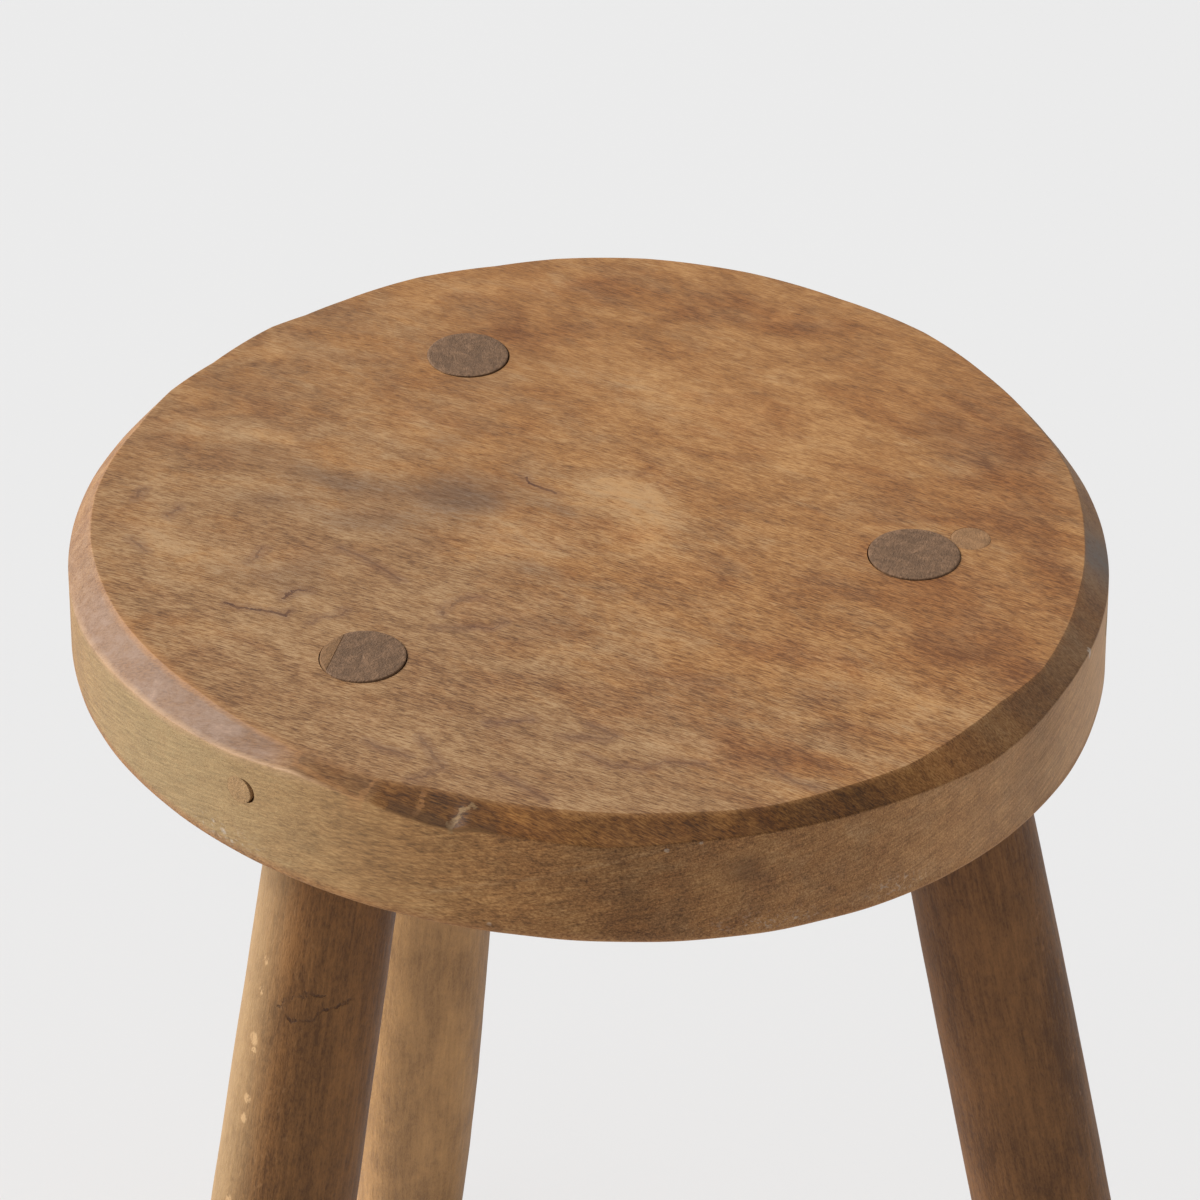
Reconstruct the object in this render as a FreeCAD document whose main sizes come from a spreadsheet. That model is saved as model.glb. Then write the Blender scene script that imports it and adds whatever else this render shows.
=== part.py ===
import FreeCAD, Part
import math
import os

import Sketcher

# A three-legged milking stool, in millimetres, standing on the plane z = 0.
# The seat is one round board with a knife-cut bevel. Each leg is a splayed, swelling turned stick.
# Its round tenon goes right through the seat, and a peg driven in from the rim locks it there.
# The front of the stool faces -Y. The origin is on the floor in the middle of the stool's footprint.

# Each row is a size's name, its value and what it measures. Angles are in degrees, from +X towards +Y.
SIZES = (
    ("overall_height", 420.0, "floor to the seat's top face"),
    ("seat_axis_x", -26.85, "middle of the seat from the origin, along X"),
    ("seat_axis_y", -15.28, "middle of the seat from the origin, along Y"),
    ("seat_length", 281.0, "slightly oval seat, along its long direction"),
    ("seat_width", 276.6, "slightly oval seat, across that direction"),
    ("seat_long_angle", -65.0, "the seat's long direction"),
    ("seat_thickness", 34.2, "thickness of the board"),
    ("under_edge_round", 1.5, "worn round of the lower edge"),
    ("bevel_width", 8.2, "mean width of the top bevel, measured flat"),
    ("bevel_slope", 30.0, "fall of the bevel below the level"),
    ("bevel_facets", 26.0, "knife cuts round the bevel"),
    ("facet_drift", 2.5, "uneven step between knife cuts"),
    ("sway_once", 0.5, "bevel width that comes and goes once round the seat"),
    ("sway_once_at", -105.0, "direction in which that is widest"),
    ("sway_twice", 0.3, "bevel width that comes and goes twice round the seat"),
    ("sway_twice_at", -66.0, "direction in which that is widest"),
    ("sway_thrice", 2.1, "bevel width that comes and goes three times round the seat"),
    ("sway_thrice_at", 6.0, "direction in which that is widest"),
    ("leg_splay", 12.6, "lean of each leg from the upright"),
    ("leg_neck_diameter", 35.0, "leg at the seat's underside"),
    ("leg_swell_diameter", 40.0, "leg at its thickest"),
    ("leg_swell_height", 130.0, "height of the thickest place above the floor"),
    ("leg_foot_diameter", 34.5, "leg at the floor"),
    ("foot_chamfer", 1.5, "broken edge of the foot"),
    ("tenon_diameter", 24.0, "round tenon on the leg's top"),
    ("mortise_clearance", 0.3, "gap round the tenon, on the radius"),
    ("front_left_ring", 88.9, "seat axis to the front left tenon's end"),
    ("front_left_angle", -131.1, "direction of that end from the seat axis"),
    ("front_left_lean", -130.0, "direction in which the front left leg leans out"),
    ("front_left_peg_angle", -129.7, "direction of its peg from the seat axis"),
    ("right_ring", 85.6, "seat axis to the right tenon's end"),
    ("right_angle", -12.0, "direction of that end from the seat axis"),
    ("right_lean", -13.4, "direction in which the right leg leans out"),
    ("right_peg_angle", -12.0, "direction of its peg from the seat axis"),
    ("back_left_ring", 87.3, "seat axis to the back left tenon's end"),
    ("back_left_angle", 114.6, "direction of that end from the seat axis"),
    ("back_left_lean", 106.5, "direction in which the back left leg leans out"),
    ("back_left_peg_angle", 114.2, "direction of its peg from the seat axis"),
    ("peg_diameter", 8.0, "locking peg"),
    ("peg_clearance", 0.1, "gap round the peg, on the radius"),
    ("peg_depth", 13.6, "seat's top face to the peg's axis"),
    ("peg_reach", 7.0, "peg beyond the far side of the tenon"),
    ("peg_point", 0.8, "broken edge of the peg's inner end"),
    ("plug_diameter", 10.6, "round plug let into the top beside the right tenon"),
    ("plug_depth", 7.0, "plug below the seat's top face"),
    ("plug_clearance", 0.1, "gap round the plug, on the radius"),
    ("plug_bite", 0.3, "how far the plug's circle runs into the mortise"),
    ("plug_angle", 27.2, "direction from the right tenon to the plug"),
    ("slip_thickness", 3.9, "slip let into the side of the front left tenon"),
    ("slip_depth", 9.0, "slip below the seat's top face, along the tenon"),
    ("slip_clearance", 0.1, "gap between the slip and the tenon's flat"),
    ("slip_angle", 167.0, "direction from the front left tenon's middle to the slip"),
    ("spare", 20.0, "how far a cut reaches past the wood it takes away"),
)

LEGS = ("front_left", "right", "back_left")

# Lengths measured along a leg, down from where its axis meets the seat's top face.
FOOT_ALONG = "dims.overall_height / cos(dims.leg_splay)"
SWELL_ALONG = "(dims.overall_height - dims.leg_swell_height) / cos(dims.leg_splay)"
NECK_ALONG = "dims.seat_thickness / cos(dims.leg_splay)"

TENON_RADIUS = "dims.tenon_diameter / 2"
MORTISE_RADIUS = "(dims.tenon_diameter / 2 + dims.mortise_clearance)"
PEG_HOLE_RADIUS = "dims.peg_diameter / 2 + dims.peg_clearance"
SEAT_FOOT_LEVEL = "dims.overall_height - dims.seat_thickness"

# Step, in degrees, of the sine that makes the knife cuts uneven.
DRIFT_TURN = 137.5


def make_sheet(doc):
    """Puts every driving size in a sheet, under its own name."""
    sheet = doc.addObject("Spreadsheet::Sheet", "dims")
    for row, (alias, value, meaning) in enumerate(SIZES, start=1):
        sheet.set(f"A{row}", meaning)
        sheet.set(f"B{row}", str(value))
        sheet.setAlias(f"B{row}", alias)
    doc.recompute()
    return sheet


def placed(x, y, z, yaw="0", pitch="0"):
    """A placement formula: turned by pitch about Y, then by yaw about Z, then moved."""
    return (
        f"create(<<placement>>; create(<<vector>>; {x}; {y}; {z});"
        f" create(<<rotation>>; {yaw}; {pitch}; 0))"
    )


def rim_at(angle):
    """The formula for the rim's distance from the seat axis in a direction."""
    along = f"cos({angle} - dims.seat_long_angle) / (dims.seat_length / 2)"
    across = f"sin({angle} - dims.seat_long_angle) / (dims.seat_width / 2)"
    return f"(1 / sqrt(({along}) ^ 2 + ({across}) ^ 2))"


def new_body(doc, label):
    body = doc.addObject("PartDesign::Body", label)
    body.Label = label
    return body


def origin_plane(body, role):
    return next(plane for plane in body.Origin.OriginFeatures if plane.Role == role)


def new_sketch(body, name, role):
    sketch = body.newObject("Sketcher::SketchObject", name)
    sketch.AttachmentSupport = [(origin_plane(body, role), "")]
    sketch.MapMode = "FlatFace"
    return sketch


def dimension(sketch, name, constraint, formula):
    """Adds a named sketch dimension that follows a formula."""
    index = sketch.addConstraint(constraint)
    sketch.renameConstraint(index, name)
    sketch.setExpression(f"Constraints.{name}", formula)


def primitive(body, kind, name, placement, **sizes):
    """Adds or takes away a box or a cylinder whose sizes and place follow formulas."""
    feature = body.newObject(f"PartDesign::{kind}", name)
    for size, formula in sizes.items():
        feature.setExpression(size, formula)
    feature.setExpression("Placement", placement)
    return feature


def edges_in_plane(shape, point, normal):
    """Names of a shape's edges that lie wholly in a plane."""
    names = []
    for number, edge in enumerate(shape.Edges, start=1):
        points = edge.discretize(8)
        if all(abs((spot - point).dot(normal)) < 1e-4 for spot in points):
            names.append(f"Edge{number}")
    return names


def add_seat_board(doc, sheet, body):
    """The oval board with its lower edge worn round."""
    sketch = new_sketch(body, "seat_outline", "XY_Plane")
    turn = math.radians(sheet.seat_long_angle)
    along = FreeCAD.Vector(math.cos(turn), math.sin(turn), 0) * (sheet.seat_length / 2)
    across = FreeCAD.Vector(-math.sin(turn), math.cos(turn), 0) * (sheet.seat_width / 2)
    middle = FreeCAD.Vector(0, 0, 0)
    # An oval's first axis is its longer one, which starts at the oval's first point.
    lengthwise = sheet.seat_length >= sheet.seat_width
    if lengthwise:
        first = ("seat_length", sheet.seat_length, turn, "dims.seat_long_angle")
        second = ("seat_width", sheet.seat_width)
        oval = sketch.addGeometry(Part.Ellipse(-along, -across, middle))
    else:
        first = ("seat_width", sheet.seat_width, turn + math.pi / 2, "(dims.seat_long_angle + 90)")
        second = ("seat_length", sheet.seat_length)
        oval = sketch.addGeometry(Part.Ellipse(-across, along, middle))
    sketch.exposeInternalGeometry(oval)
    first_axis = oval + 1
    second_axis = oval + 2
    sketch.addConstraint(Sketcher.Constraint("Coincident", oval, 3, -1, 1))
    for axis, (name, value) in ((first_axis, first[:2]), (second_axis, second)):
        span = Sketcher.Constraint("Distance", axis, float(value))
        dimension(sketch, name, span, f"dims.{name}")
    lean = Sketcher.Constraint("Angle", first_axis, first[2])
    dimension(sketch, "seat_long_angle", lean, f"{first[3]} * 1 deg")
    board = body.newObject("PartDesign::Pad", "seat_board")
    board.Profile = sketch
    board.setExpression("Length", "dims.seat_thickness")
    doc.recompute()
    worn = body.newObject("PartDesign::Fillet", "seat_under_edge")
    lower = edges_in_plane(board.Shape, FreeCAD.Vector(0, 0, 0), FreeCAD.Vector(0, 0, 1))
    worn.Base = (board, lower)
    worn.setExpression("Radius", "dims.under_edge_round")


def add_bevel_facets(sheet, body):
    """Flat knife cuts, side by side round the top edge, of slowly changing width."""
    for index in range(int(sheet.bevel_facets)):
        facet = body.newObject("PartDesign::SubtractiveBox", f"bevel_facet_{index + 1:02d}")
        facet.addProperty("App::PropertyFloat", "Direction", "Facet", "azimuth of the cut")
        facet.addProperty("App::PropertyFloat", "Spread", "Facet", "flat width of the cut")
        facet.addProperty("App::PropertyFloat", "Reach", "Facet", "seat axis to the cut's upper edge")
        facet.setExpression(
            "Direction",
            f"{index} * 360 / dims.bevel_facets + dims.facet_drift * sin({index * DRIFT_TURN})",
        )
        facet.setExpression(
            "Spread",
            "dims.bevel_width"
            " + dims.sway_once * cos(Direction - dims.sway_once_at)"
            " + dims.sway_twice * cos(2 * (Direction - dims.sway_twice_at))"
            " + dims.sway_thrice * cos(3 * (Direction - dims.sway_thrice_at))",
        )
        facet.setExpression("Reach", f"{rim_at('Direction')} - Spread")
        facet.setExpression("Length", "dims.seat_length / 2")
        facet.setExpression("Width", "dims.seat_length")
        facet.setExpression("Height", "dims.seat_thickness")
        # The box lies on the cut's slope. It starts inward of the upper edge, above the board.
        inward = "(Reach - dims.spare * cos(dims.bevel_slope))"
        sideways = "dims.seat_length / 2"
        facet.setExpression(
            "Placement",
            placed(
                f"{inward} * cos(Direction) + {sideways} * sin(Direction)",
                f"{inward} * sin(Direction) - {sideways} * cos(Direction)",
                "dims.seat_thickness + dims.spare * sin(dims.bevel_slope)",
                yaw="Direction",
                pitch="dims.bevel_slope",
            ),
        )


def leg_spot(leg, down):
    """The formulas for a leg's axis at a depth below the seat's top face, from the seat axis."""
    out = f"({down}) * tan(dims.leg_splay)"
    x = f"(dims.{leg}_ring * cos(dims.{leg}_angle) + {out} * cos(dims.{leg}_lean))"
    y = f"(dims.{leg}_ring * sin(dims.{leg}_angle) + {out} * sin(dims.{leg}_lean))"
    return x, y


def leg_stance(leg, rise):
    """A placement on the seat's top face where a leg's axis meets it, leaning with the leg."""
    x, y = leg_spot(leg, "0")
    return placed(x, y, rise, yaw=f"dims.{leg}_lean", pitch="-dims.leg_splay")


def peg_inner_end(leg):
    """The formula for a peg's inner end, measured from the seat axis."""
    x, y = leg_spot(leg, "dims.peg_depth")
    along = f"dims.{leg}_peg_angle"
    return f"({x} * cos({along}) + {y} * sin({along}) - dims.tenon_diameter / 2 - dims.peg_reach)"


def peg_stance(leg):
    """A placement at a peg's inner end, with the peg's axis outwards, level."""
    return placed(
        f"{peg_inner_end(leg)} * cos(dims.{leg}_peg_angle)",
        f"{peg_inner_end(leg)} * sin(dims.{leg}_peg_angle)",
        "dims.seat_thickness - dims.peg_depth",
        yaw=f"dims.{leg}_peg_angle",
        pitch="90",
    )


def plug_place():
    """The formulas for the plug's middle on the seat's top face, from the seat axis."""
    apart = f"({MORTISE_RADIUS} + dims.plug_diameter / 2 - dims.plug_bite)"
    x = f"dims.right_ring * cos(dims.right_angle) + {apart} * cos(dims.plug_angle)"
    y = f"dims.right_ring * sin(dims.right_angle) + {apart} * sin(dims.plug_angle)"
    return x, y


def bore_mortise(body, leg, name):
    """Cuts the sloping round hole that a leg's tenon goes through."""
    x, y = leg_spot(leg, "dims.seat_thickness + dims.spare")
    primitive(
        body,
        "SubtractiveCylinder",
        name,
        placed(x, y, "-dims.spare", yaw=f"dims.{leg}_lean", pitch="-dims.leg_splay"),
        Radius=MORTISE_RADIUS,
        Height="(dims.seat_thickness + 2 * dims.spare) / cos(dims.leg_splay)",
    )


def seat_placed(body):
    """Stands a body's own origin on the seat axis, at the height of the seat's underside."""
    body.setExpression("Placement", placed("dims.seat_axis_x", "dims.seat_axis_y", SEAT_FOOT_LEVEL))


def make_seat(doc, sheet):
    body = new_body(doc, "seat")
    add_seat_board(doc, sheet, body)
    add_bevel_facets(sheet, body)
    for leg in LEGS:
        bore_mortise(body, leg, f"mortise_{leg}")
        primitive(
            body,
            "SubtractiveCylinder",
            f"peg_hole_{leg}",
            peg_stance(leg),
            Radius=PEG_HOLE_RADIUS,
            Height="dims.seat_length",
        )
    x, y = plug_place()
    primitive(
        body,
        "SubtractiveCylinder",
        "plug_hole",
        placed(x, y, "dims.seat_thickness - dims.plug_depth"),
        Radius="dims.plug_diameter / 2 + dims.plug_clearance",
        Height="dims.plug_depth + dims.spare",
    )
    seat_placed(body)
    return body


def add_leg_shaft(sheet, body, leg):
    """Turns the leg's swelling profile about its own axis, from past the floor to past the neck."""
    sketch = new_sketch(body, f"{leg}_profile", "XZ_Plane")
    lean = math.cos(math.radians(sheet.leg_splay))
    foot = FreeCAD.Vector(sheet.leg_foot_diameter / 2, -sheet.overall_height / lean, 0)
    swell_level = (sheet.leg_swell_height - sheet.overall_height) / lean
    swell = FreeCAD.Vector(sheet.leg_swell_diameter / 2, swell_level, 0)
    neck = FreeCAD.Vector(sheet.leg_neck_diameter / 2, -sheet.seat_thickness / lean, 0)
    spare = FreeCAD.Vector(0, sheet.spare, 0)
    below = foot - spare
    above = neck + spare
    on_axis_below = FreeCAD.Vector(0, below.y, 0)
    on_axis_above = FreeCAD.Vector(0, above.y, 0)

    def swelling_arc(end):
        """An arc that leaves the swell parallel to the axis and passes through the end point."""
        rise = end.y - swell.y
        fall = swell.x - end.x
        radius = (fall * fall + rise * rise) / (2 * fall)
        middle = FreeCAD.Vector(swell.x - radius, swell.y, 0)
        circle = Part.Circle(middle, FreeCAD.Vector(0, 0, 1), radius)
        reach = math.asin(rise / radius)
        return Part.ArcOfCircle(circle, min(0, reach), max(0, reach))

    outline = (
        Part.LineSegment(on_axis_below, below),
        Part.LineSegment(below, foot),
        swelling_arc(foot),
        swelling_arc(neck),
        Part.LineSegment(neck, above),
        Part.LineSegment(above, on_axis_above),
        Part.LineSegment(on_axis_above, on_axis_below),
    )
    sole, ankle, lower_swell, upper_swell, throat, crown, axis = sketch.addGeometry(list(outline))
    order = (sole, ankle, lower_swell, upper_swell, throat, crown, axis)
    for first, second in zip(order, order[1:] + order[:1]):
        sketch.addConstraint(Sketcher.Constraint("Coincident", first, 2, second, 1))
    for level in (sole, crown):
        sketch.addConstraint(Sketcher.Constraint("Horizontal", level))
    for upright in (ankle, throat, axis):
        sketch.addConstraint(Sketcher.Constraint("Vertical", upright))
    sketch.addConstraint(Sketcher.Constraint("PointOnObject", axis, 1, -2))
    sketch.addConstraint(Sketcher.Constraint("Horizontal", lower_swell, 3, lower_swell, 2))
    sketch.addConstraint(Sketcher.Constraint("Horizontal", upper_swell, 3, upper_swell, 1))
    spots = (
        ("foot", lower_swell, 1, foot, FOOT_ALONG),
        ("swell", lower_swell, 2, swell, SWELL_ALONG),
        ("neck", upper_swell, 2, neck, NECK_ALONG),
    )
    for name, curve, end, spot, along in spots:
        radius = Sketcher.Constraint("DistanceX", -1, 1, curve, end, spot.x)
        dimension(sketch, f"{name}_radius", radius, f"dims.leg_{name}_diameter / 2")
        level = Sketcher.Constraint("DistanceY", curve, end, -1, 1, -spot.y)
        dimension(sketch, f"{name}_along", level, along)
    for name, line in (("ankle", ankle), ("throat", throat)):
        length = Sketcher.Constraint("Distance", line, float(sheet.spare))
        dimension(sketch, f"{name}_spare", length, "dims.spare")
    shaft = body.newObject("PartDesign::Revolution", f"{leg}_shaft")
    shaft.Profile = sketch
    shaft.ReferenceAxis = (sketch, ["V_Axis"])
    shaft.Angle = 360


def level_cut(body, name, along, pitch):
    """Takes away what lies beyond a plane that is level on the standing stool."""
    primitive(
        body,
        "SubtractiveCylinder",
        name,
        placed("0", "0", f"-({along})", pitch=pitch),
        Radius="2 * dims.leg_swell_diameter",
        Height="dims.seat_thickness + 3 * dims.spare",
    )


def leg_placed(body, leg):
    """Puts a body's own origin where a leg's axis meets the seat's top face, leaning with the leg."""
    axis = placed("dims.seat_axis_x", "dims.seat_axis_y", SEAT_FOOT_LEVEL)
    body.setExpression("Placement", f"{axis} * {leg_stance(leg, 'dims.seat_thickness')}")


def slip_box(body, name, start, reach):
    """Takes away a box from the front left tenon's side, from a start towards the slip."""
    turn = "(dims.slip_angle - dims.front_left_lean)"
    sideways = "dims.tenon_diameter"
    primitive(
        body,
        "SubtractiveBox",
        name,
        placed(
            f"{start} * cos({turn}) + {sideways} * sin({turn})",
            f"{start} * sin({turn}) - {sideways} * cos({turn})",
            "-dims.slip_depth",
            yaw=turn,
        ),
        Length=reach,
        Width="2 * dims.tenon_diameter",
        Height="dims.slip_depth + dims.spare",
    )


def make_leg(doc, sheet, leg):
    """A leg whose shoulder meets the seat's underside and whose tenon is flush with the top."""
    body = new_body(doc, f"leg_{leg}")
    add_leg_shaft(sheet, body, leg)
    level_cut(body, f"{leg}_shoulder", NECK_ALONG, "dims.leg_splay")
    primitive(
        body,
        "AdditiveCylinder",
        f"{leg}_tenon",
        placed("0", "0", f"-({NECK_ALONG} + dims.spare)"),
        Radius=TENON_RADIUS,
        Height=f"{NECK_ALONG} + 2 * dims.spare",
    )
    level_cut(body, f"{leg}_tenon_end", "0", "dims.leg_splay")
    level_cut(body, f"{leg}_foot", FOOT_ALONG, "dims.leg_splay + 180")
    # The peg hole is the seat's own peg hole, seen from the leaning leg.
    primitive(
        body,
        "SubtractiveCylinder",
        f"{leg}_peg_hole",
        f"minvert({leg_stance(leg, 'dims.seat_thickness')}) * {peg_stance(leg)}",
        Radius=PEG_HOLE_RADIUS,
        Height="2 * dims.tenon_diameter",
    )
    if leg == "front_left":
        slip_box(body, "slip_seat", f"({TENON_RADIUS} - dims.slip_thickness)", "dims.tenon_diameter")
    doc.recompute()
    trimmed = body.Tip
    splay = math.radians(sheet.leg_splay)
    upright = FreeCAD.Vector(math.sin(splay), 0, math.cos(splay))
    on_floor = FreeCAD.Vector(0, 0, -sheet.overall_height / math.cos(splay))
    worn = body.newObject("PartDesign::Chamfer", f"{leg}_foot_edge")
    worn.Base = (trimmed, edges_in_plane(trimmed.Shape, on_floor, upright))
    worn.setExpression("Size", "dims.foot_chamfer")
    leg_placed(body, leg)
    return body


def make_peg(doc, leg):
    """A locking peg, driven in from the rim through the tenon and pared off at the rim."""
    body = new_body(doc, f"peg_{leg}")
    pin = primitive(
        body,
        "AdditiveCylinder",
        f"{leg}_pin",
        peg_stance(leg),
        Radius="dims.peg_diameter / 2",
        Height=f"{rim_at(f'dims.{leg}_peg_angle')} - {peg_inner_end(leg)}",
    )
    doc.recompute()
    inward = min(pin.Shape.Faces, key=lambda face: math.hypot(*face.CenterOfMass[:2]))
    normal = inward.normalAt(0, 0)
    pointed = body.newObject("PartDesign::Chamfer", f"{leg}_pin_point")
    pointed.Base = (pin, edges_in_plane(pin.Shape, inward.CenterOfMass, normal))
    pointed.setExpression("Size", "dims.peg_point")
    seat_placed(body)
    return body


def make_plug(doc):
    """A shallow round plug beside the right tenon, whose edge the mortise clips."""
    body = new_body(doc, "patch_plug")
    x, y = plug_place()
    primitive(
        body,
        "AdditiveCylinder",
        "plug_disc",
        placed(x, y, "dims.seat_thickness - dims.plug_depth"),
        Radius="dims.plug_diameter / 2",
        Height="dims.plug_depth",
    )
    bore_mortise(body, "right", "plug_clipped_side")
    seat_placed(body)
    return body


def make_slip(doc):
    """A slip of wood that makes good the side of the front left tenon, flush with the top."""
    body = new_body(doc, "tenon_slip")
    primitive(
        body,
        "AdditiveCylinder",
        "slip_blank",
        placed("0", "0", "-dims.slip_depth"),
        Radius=TENON_RADIUS,
        Height="dims.slip_depth + dims.spare",
    )
    flat = f"({TENON_RADIUS} - dims.slip_thickness + dims.slip_clearance)"
    slip_box(body, "slip_flat", f"({flat} - 2 * dims.tenon_diameter)", "2 * dims.tenon_diameter")
    level_cut(body, "slip_end", "0", "dims.leg_splay")
    leg_placed(body, "front_left")
    return body


def check(doc, bodies):
    """Stops on any failed feature, on a cut that takes nothing away and on a bad solid."""
    for item in doc.Objects:
        if "Invalid" in item.State or "Error" in item.State:
            raise RuntimeError(f"{item.Name} failed: {item.State}")
        if item.TypeId.startswith("PartDesign::Subtractive"):
            if item.Shape.Volume >= item.BaseFeature.Shape.Volume:
                raise RuntimeError(f"{item.Name} takes nothing away")
    for body in bodies:
        shape = body.Shape
        if shape.isNull() or not shape.isValid() or len(shape.Solids) != 1:
            raise RuntimeError(f"{body.Label} is not one valid solid")


def main():
    doc = FreeCAD.newDocument("milking_stool")
    sheet = make_sheet(doc)
    bodies = [make_seat(doc, sheet)]
    bodies += [make_leg(doc, sheet, leg) for leg in LEGS]
    bodies += [make_peg(doc, leg) for leg in LEGS]
    bodies += [make_plug(doc), make_slip(doc)]
    doc.recompute()
    check(doc, bodies)
    os.makedirs("parts", exist_ok=True)
    for body in bodies:
        body.Shape.exportStep(f"parts/{body.Label}.step")
        box = body.Shape.BoundBox
        print(f"{body.Label}: volume {body.Shape.Volume:.0f}, {box}")


main()
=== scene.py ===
"""Looks of an old three-legged milking stool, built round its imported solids.

The seat, the legs, the pegs, the plug and the slip are modelled here in full, and each
replaces the plain solid of the same name. Lengths are in millimetres, angles in degrees
from +X towards +Y, and places on the seat are measured from the middle of its flat top.
Only the finished meshes and the settings that a user sees are in metres.
"""

import math

import bpy
import numpy as np
from mathutils import Matrix, Vector, noise


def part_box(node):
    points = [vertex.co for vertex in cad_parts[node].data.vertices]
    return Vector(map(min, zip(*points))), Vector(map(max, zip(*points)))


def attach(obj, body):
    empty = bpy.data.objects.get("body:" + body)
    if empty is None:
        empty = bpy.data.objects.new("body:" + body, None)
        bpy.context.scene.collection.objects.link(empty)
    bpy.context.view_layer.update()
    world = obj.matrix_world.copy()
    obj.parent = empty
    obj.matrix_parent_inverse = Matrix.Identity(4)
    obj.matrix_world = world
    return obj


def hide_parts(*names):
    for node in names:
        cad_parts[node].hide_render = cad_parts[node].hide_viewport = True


bl_info = {
    "name": "Milking stool",
    "version": (1, 0, 0),
    "blender": (4, 5, 0),
    "location": "3D View > Sidebar > Stool",
    "description": "Builds an old three-legged milking stool and a plain stage for it",
    "category": "Add Mesh",
}

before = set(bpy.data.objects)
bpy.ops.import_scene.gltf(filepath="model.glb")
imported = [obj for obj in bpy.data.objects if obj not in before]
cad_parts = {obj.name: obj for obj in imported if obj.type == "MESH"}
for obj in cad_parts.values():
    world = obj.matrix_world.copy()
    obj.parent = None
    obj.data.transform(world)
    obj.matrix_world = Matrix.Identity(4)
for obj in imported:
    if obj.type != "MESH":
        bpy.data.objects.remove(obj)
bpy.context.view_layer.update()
SEAT_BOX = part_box("seat")

MM = 0.001
RIM_X = (SEAT_BOX[0].x + SEAT_BOX[1].x) / 2 / MM
RIM_Y = (SEAT_BOX[0].y + SEAT_BOX[1].y) / 2 / MM
# The flat top's middle lies a little behind the middle of the rim.
SEAT_X = RIM_X - 0.4
SEAT_Y = RIM_Y + 2.15
TOP = SEAT_BOX[1].z / MM
UNDERSIDE = SEAT_BOX[0].z / MM
SEAT_MIDDLE = np.array((SEAT_X, SEAT_Y, 0.0))
UPRIGHT = np.array((0.0, 0.0, 1.0))

# The rim's usual radius, by which directions round the seat become lengths along its wall.
RIM_RADIUS = 140.0
# How far the uneven wall and faces stand back, so that their swells stay near the solid.
WALL_INSET = 0.3
FACE_INSET = 0.25

# Where each leg's axis meets the seat's top: distance from the top's middle and direction.
# Then the direction in which the leg leans out, that of its peg from the middle of the rim, and
# what share of the usual tenon width its own tenon has.
LEGS = {
    "front_left": (90.3, -130.0, -130.0, -129.7, 0.915),
    "right": (86.4, -13.3, -13.4, -12.0, 0.985),
    "back_left": (85.2, 114.9, 106.5, 114.2, 0.945),
}

# How far aside the worn mouth of each leg's mortise has drifted.
MOUTH_DRIFTS = {
    "front_left": (0.10, -0.16, 0.0),
    "right": (-0.15, -0.16, 0.0),
    "back_left": (0.16, -0.12, 0.0),
}

# The rim comes and goes round the seat: how many times, by how much and where it is widest.
RIM_SWELLS = ((1, 2.2, -80.0), (2, 1.05, -65.0), (3, 2.0, -51.0))

# Knife cuts of the bevel, in order round the seat. Each row is a ridge between two cuts:
# its direction, its distance from the middle at the top and how far down the rim it reaches.
CUTS = (
    (-172, 133.2, 9.4),
    (-164, 132.6, 9.8),
    (-157, 132.0, 8.3),
    (-148, 130.8, 6.5),
    (-139, 129.8, 5.3),
    (-130, 130.1, 3.5),
    (-122, 130.8, 0.9),
    (-118, 130.8, 1.4),
    (-113, 130.5, 2.2),
    (-107, 129.6, 3.9),
    (-104, 130.0, 4.4),
    (-102.6, 130.2, 2.6),
    (-98, 130.9, 3.5),
    (-89, 132.7, 4.9),
    (-80, 134.2, 3.2),
    (-72, 136.3, 3.3),
    (-62, 136.0, 3.4),
    (-55, 136.3, 4.2),
    (-46, 134.2, 6.0),
    (-40, 133.1, 5.4),
    (-32, 134.0, 3.8),
    (-27, 132.9, 3.5),
    (-16, 130.9, 4.4),
    (-4, 129.9, 5.4),
    (10, 129.9, 6.4),
    (21, 128.9, 7.6),
    (33, 129.6, 7.4),
    (45, 131.2, 6.4),
    (58, 130.8, 6.6),
    (70, 132.3, 5.6),
    (84, 133.0, 5.0),
    (95, 132.0, 5.2),
    (103, 130.2, 5.8),
    (113, 130.5, 5.4),
    (124, 128.7, 6.6),
    (130, 128.2, 7.2),
    (135, 129.5, 6.8),
    (146, 128.7, 9.0),
    (154, 130.4, 8.6),
    (163, 130.3, 9.0),
    (170, 131.8, 9.2),
    (178, 133.0, 9.3),
)

# Tone of the rim wall and of the bevel round the seat: direction, wall and bevel.
# Above 1 on the right, the wall's tones brighten a wall that lies in shade: painted light.
RIM_TONES_WITH_PAINTED_LIGHT = (
    (-180, 0.84, 0.90),
    (-165, 0.90, 0.95),
    (-146, 1.00, 1.06),
    (-124, 1.10, 1.00),
    (-122.6, 1.10, 0.70),
    (-113.6, 1.08, 0.52),
    (-112.6, 1.05, 0.42),
    (-107.6, 1.03, 0.36),
    (-107.2, 1.03, 0.30),
    (-103.2, 1.00, 0.32),
    (-98, 1.00, 0.60),
    (-86, 0.72, 0.42),
    (-76, 0.90, 0.42),
    (-62, 1.00, 0.27),
    (-51, 1.24, 0.98),
    (-42, 1.20, 0.80),
    (-37, 1.04, 0.70),
    (-30, 1.38, 0.64),
    (-25, 1.43, 0.74),
    (-17, 1.58, 0.95),
    (-5, 1.42, 1.00),
    (30, 1.10, 0.90),
    (90, 0.95, 0.85),
    (150, 0.90, 0.88),
)

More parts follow.
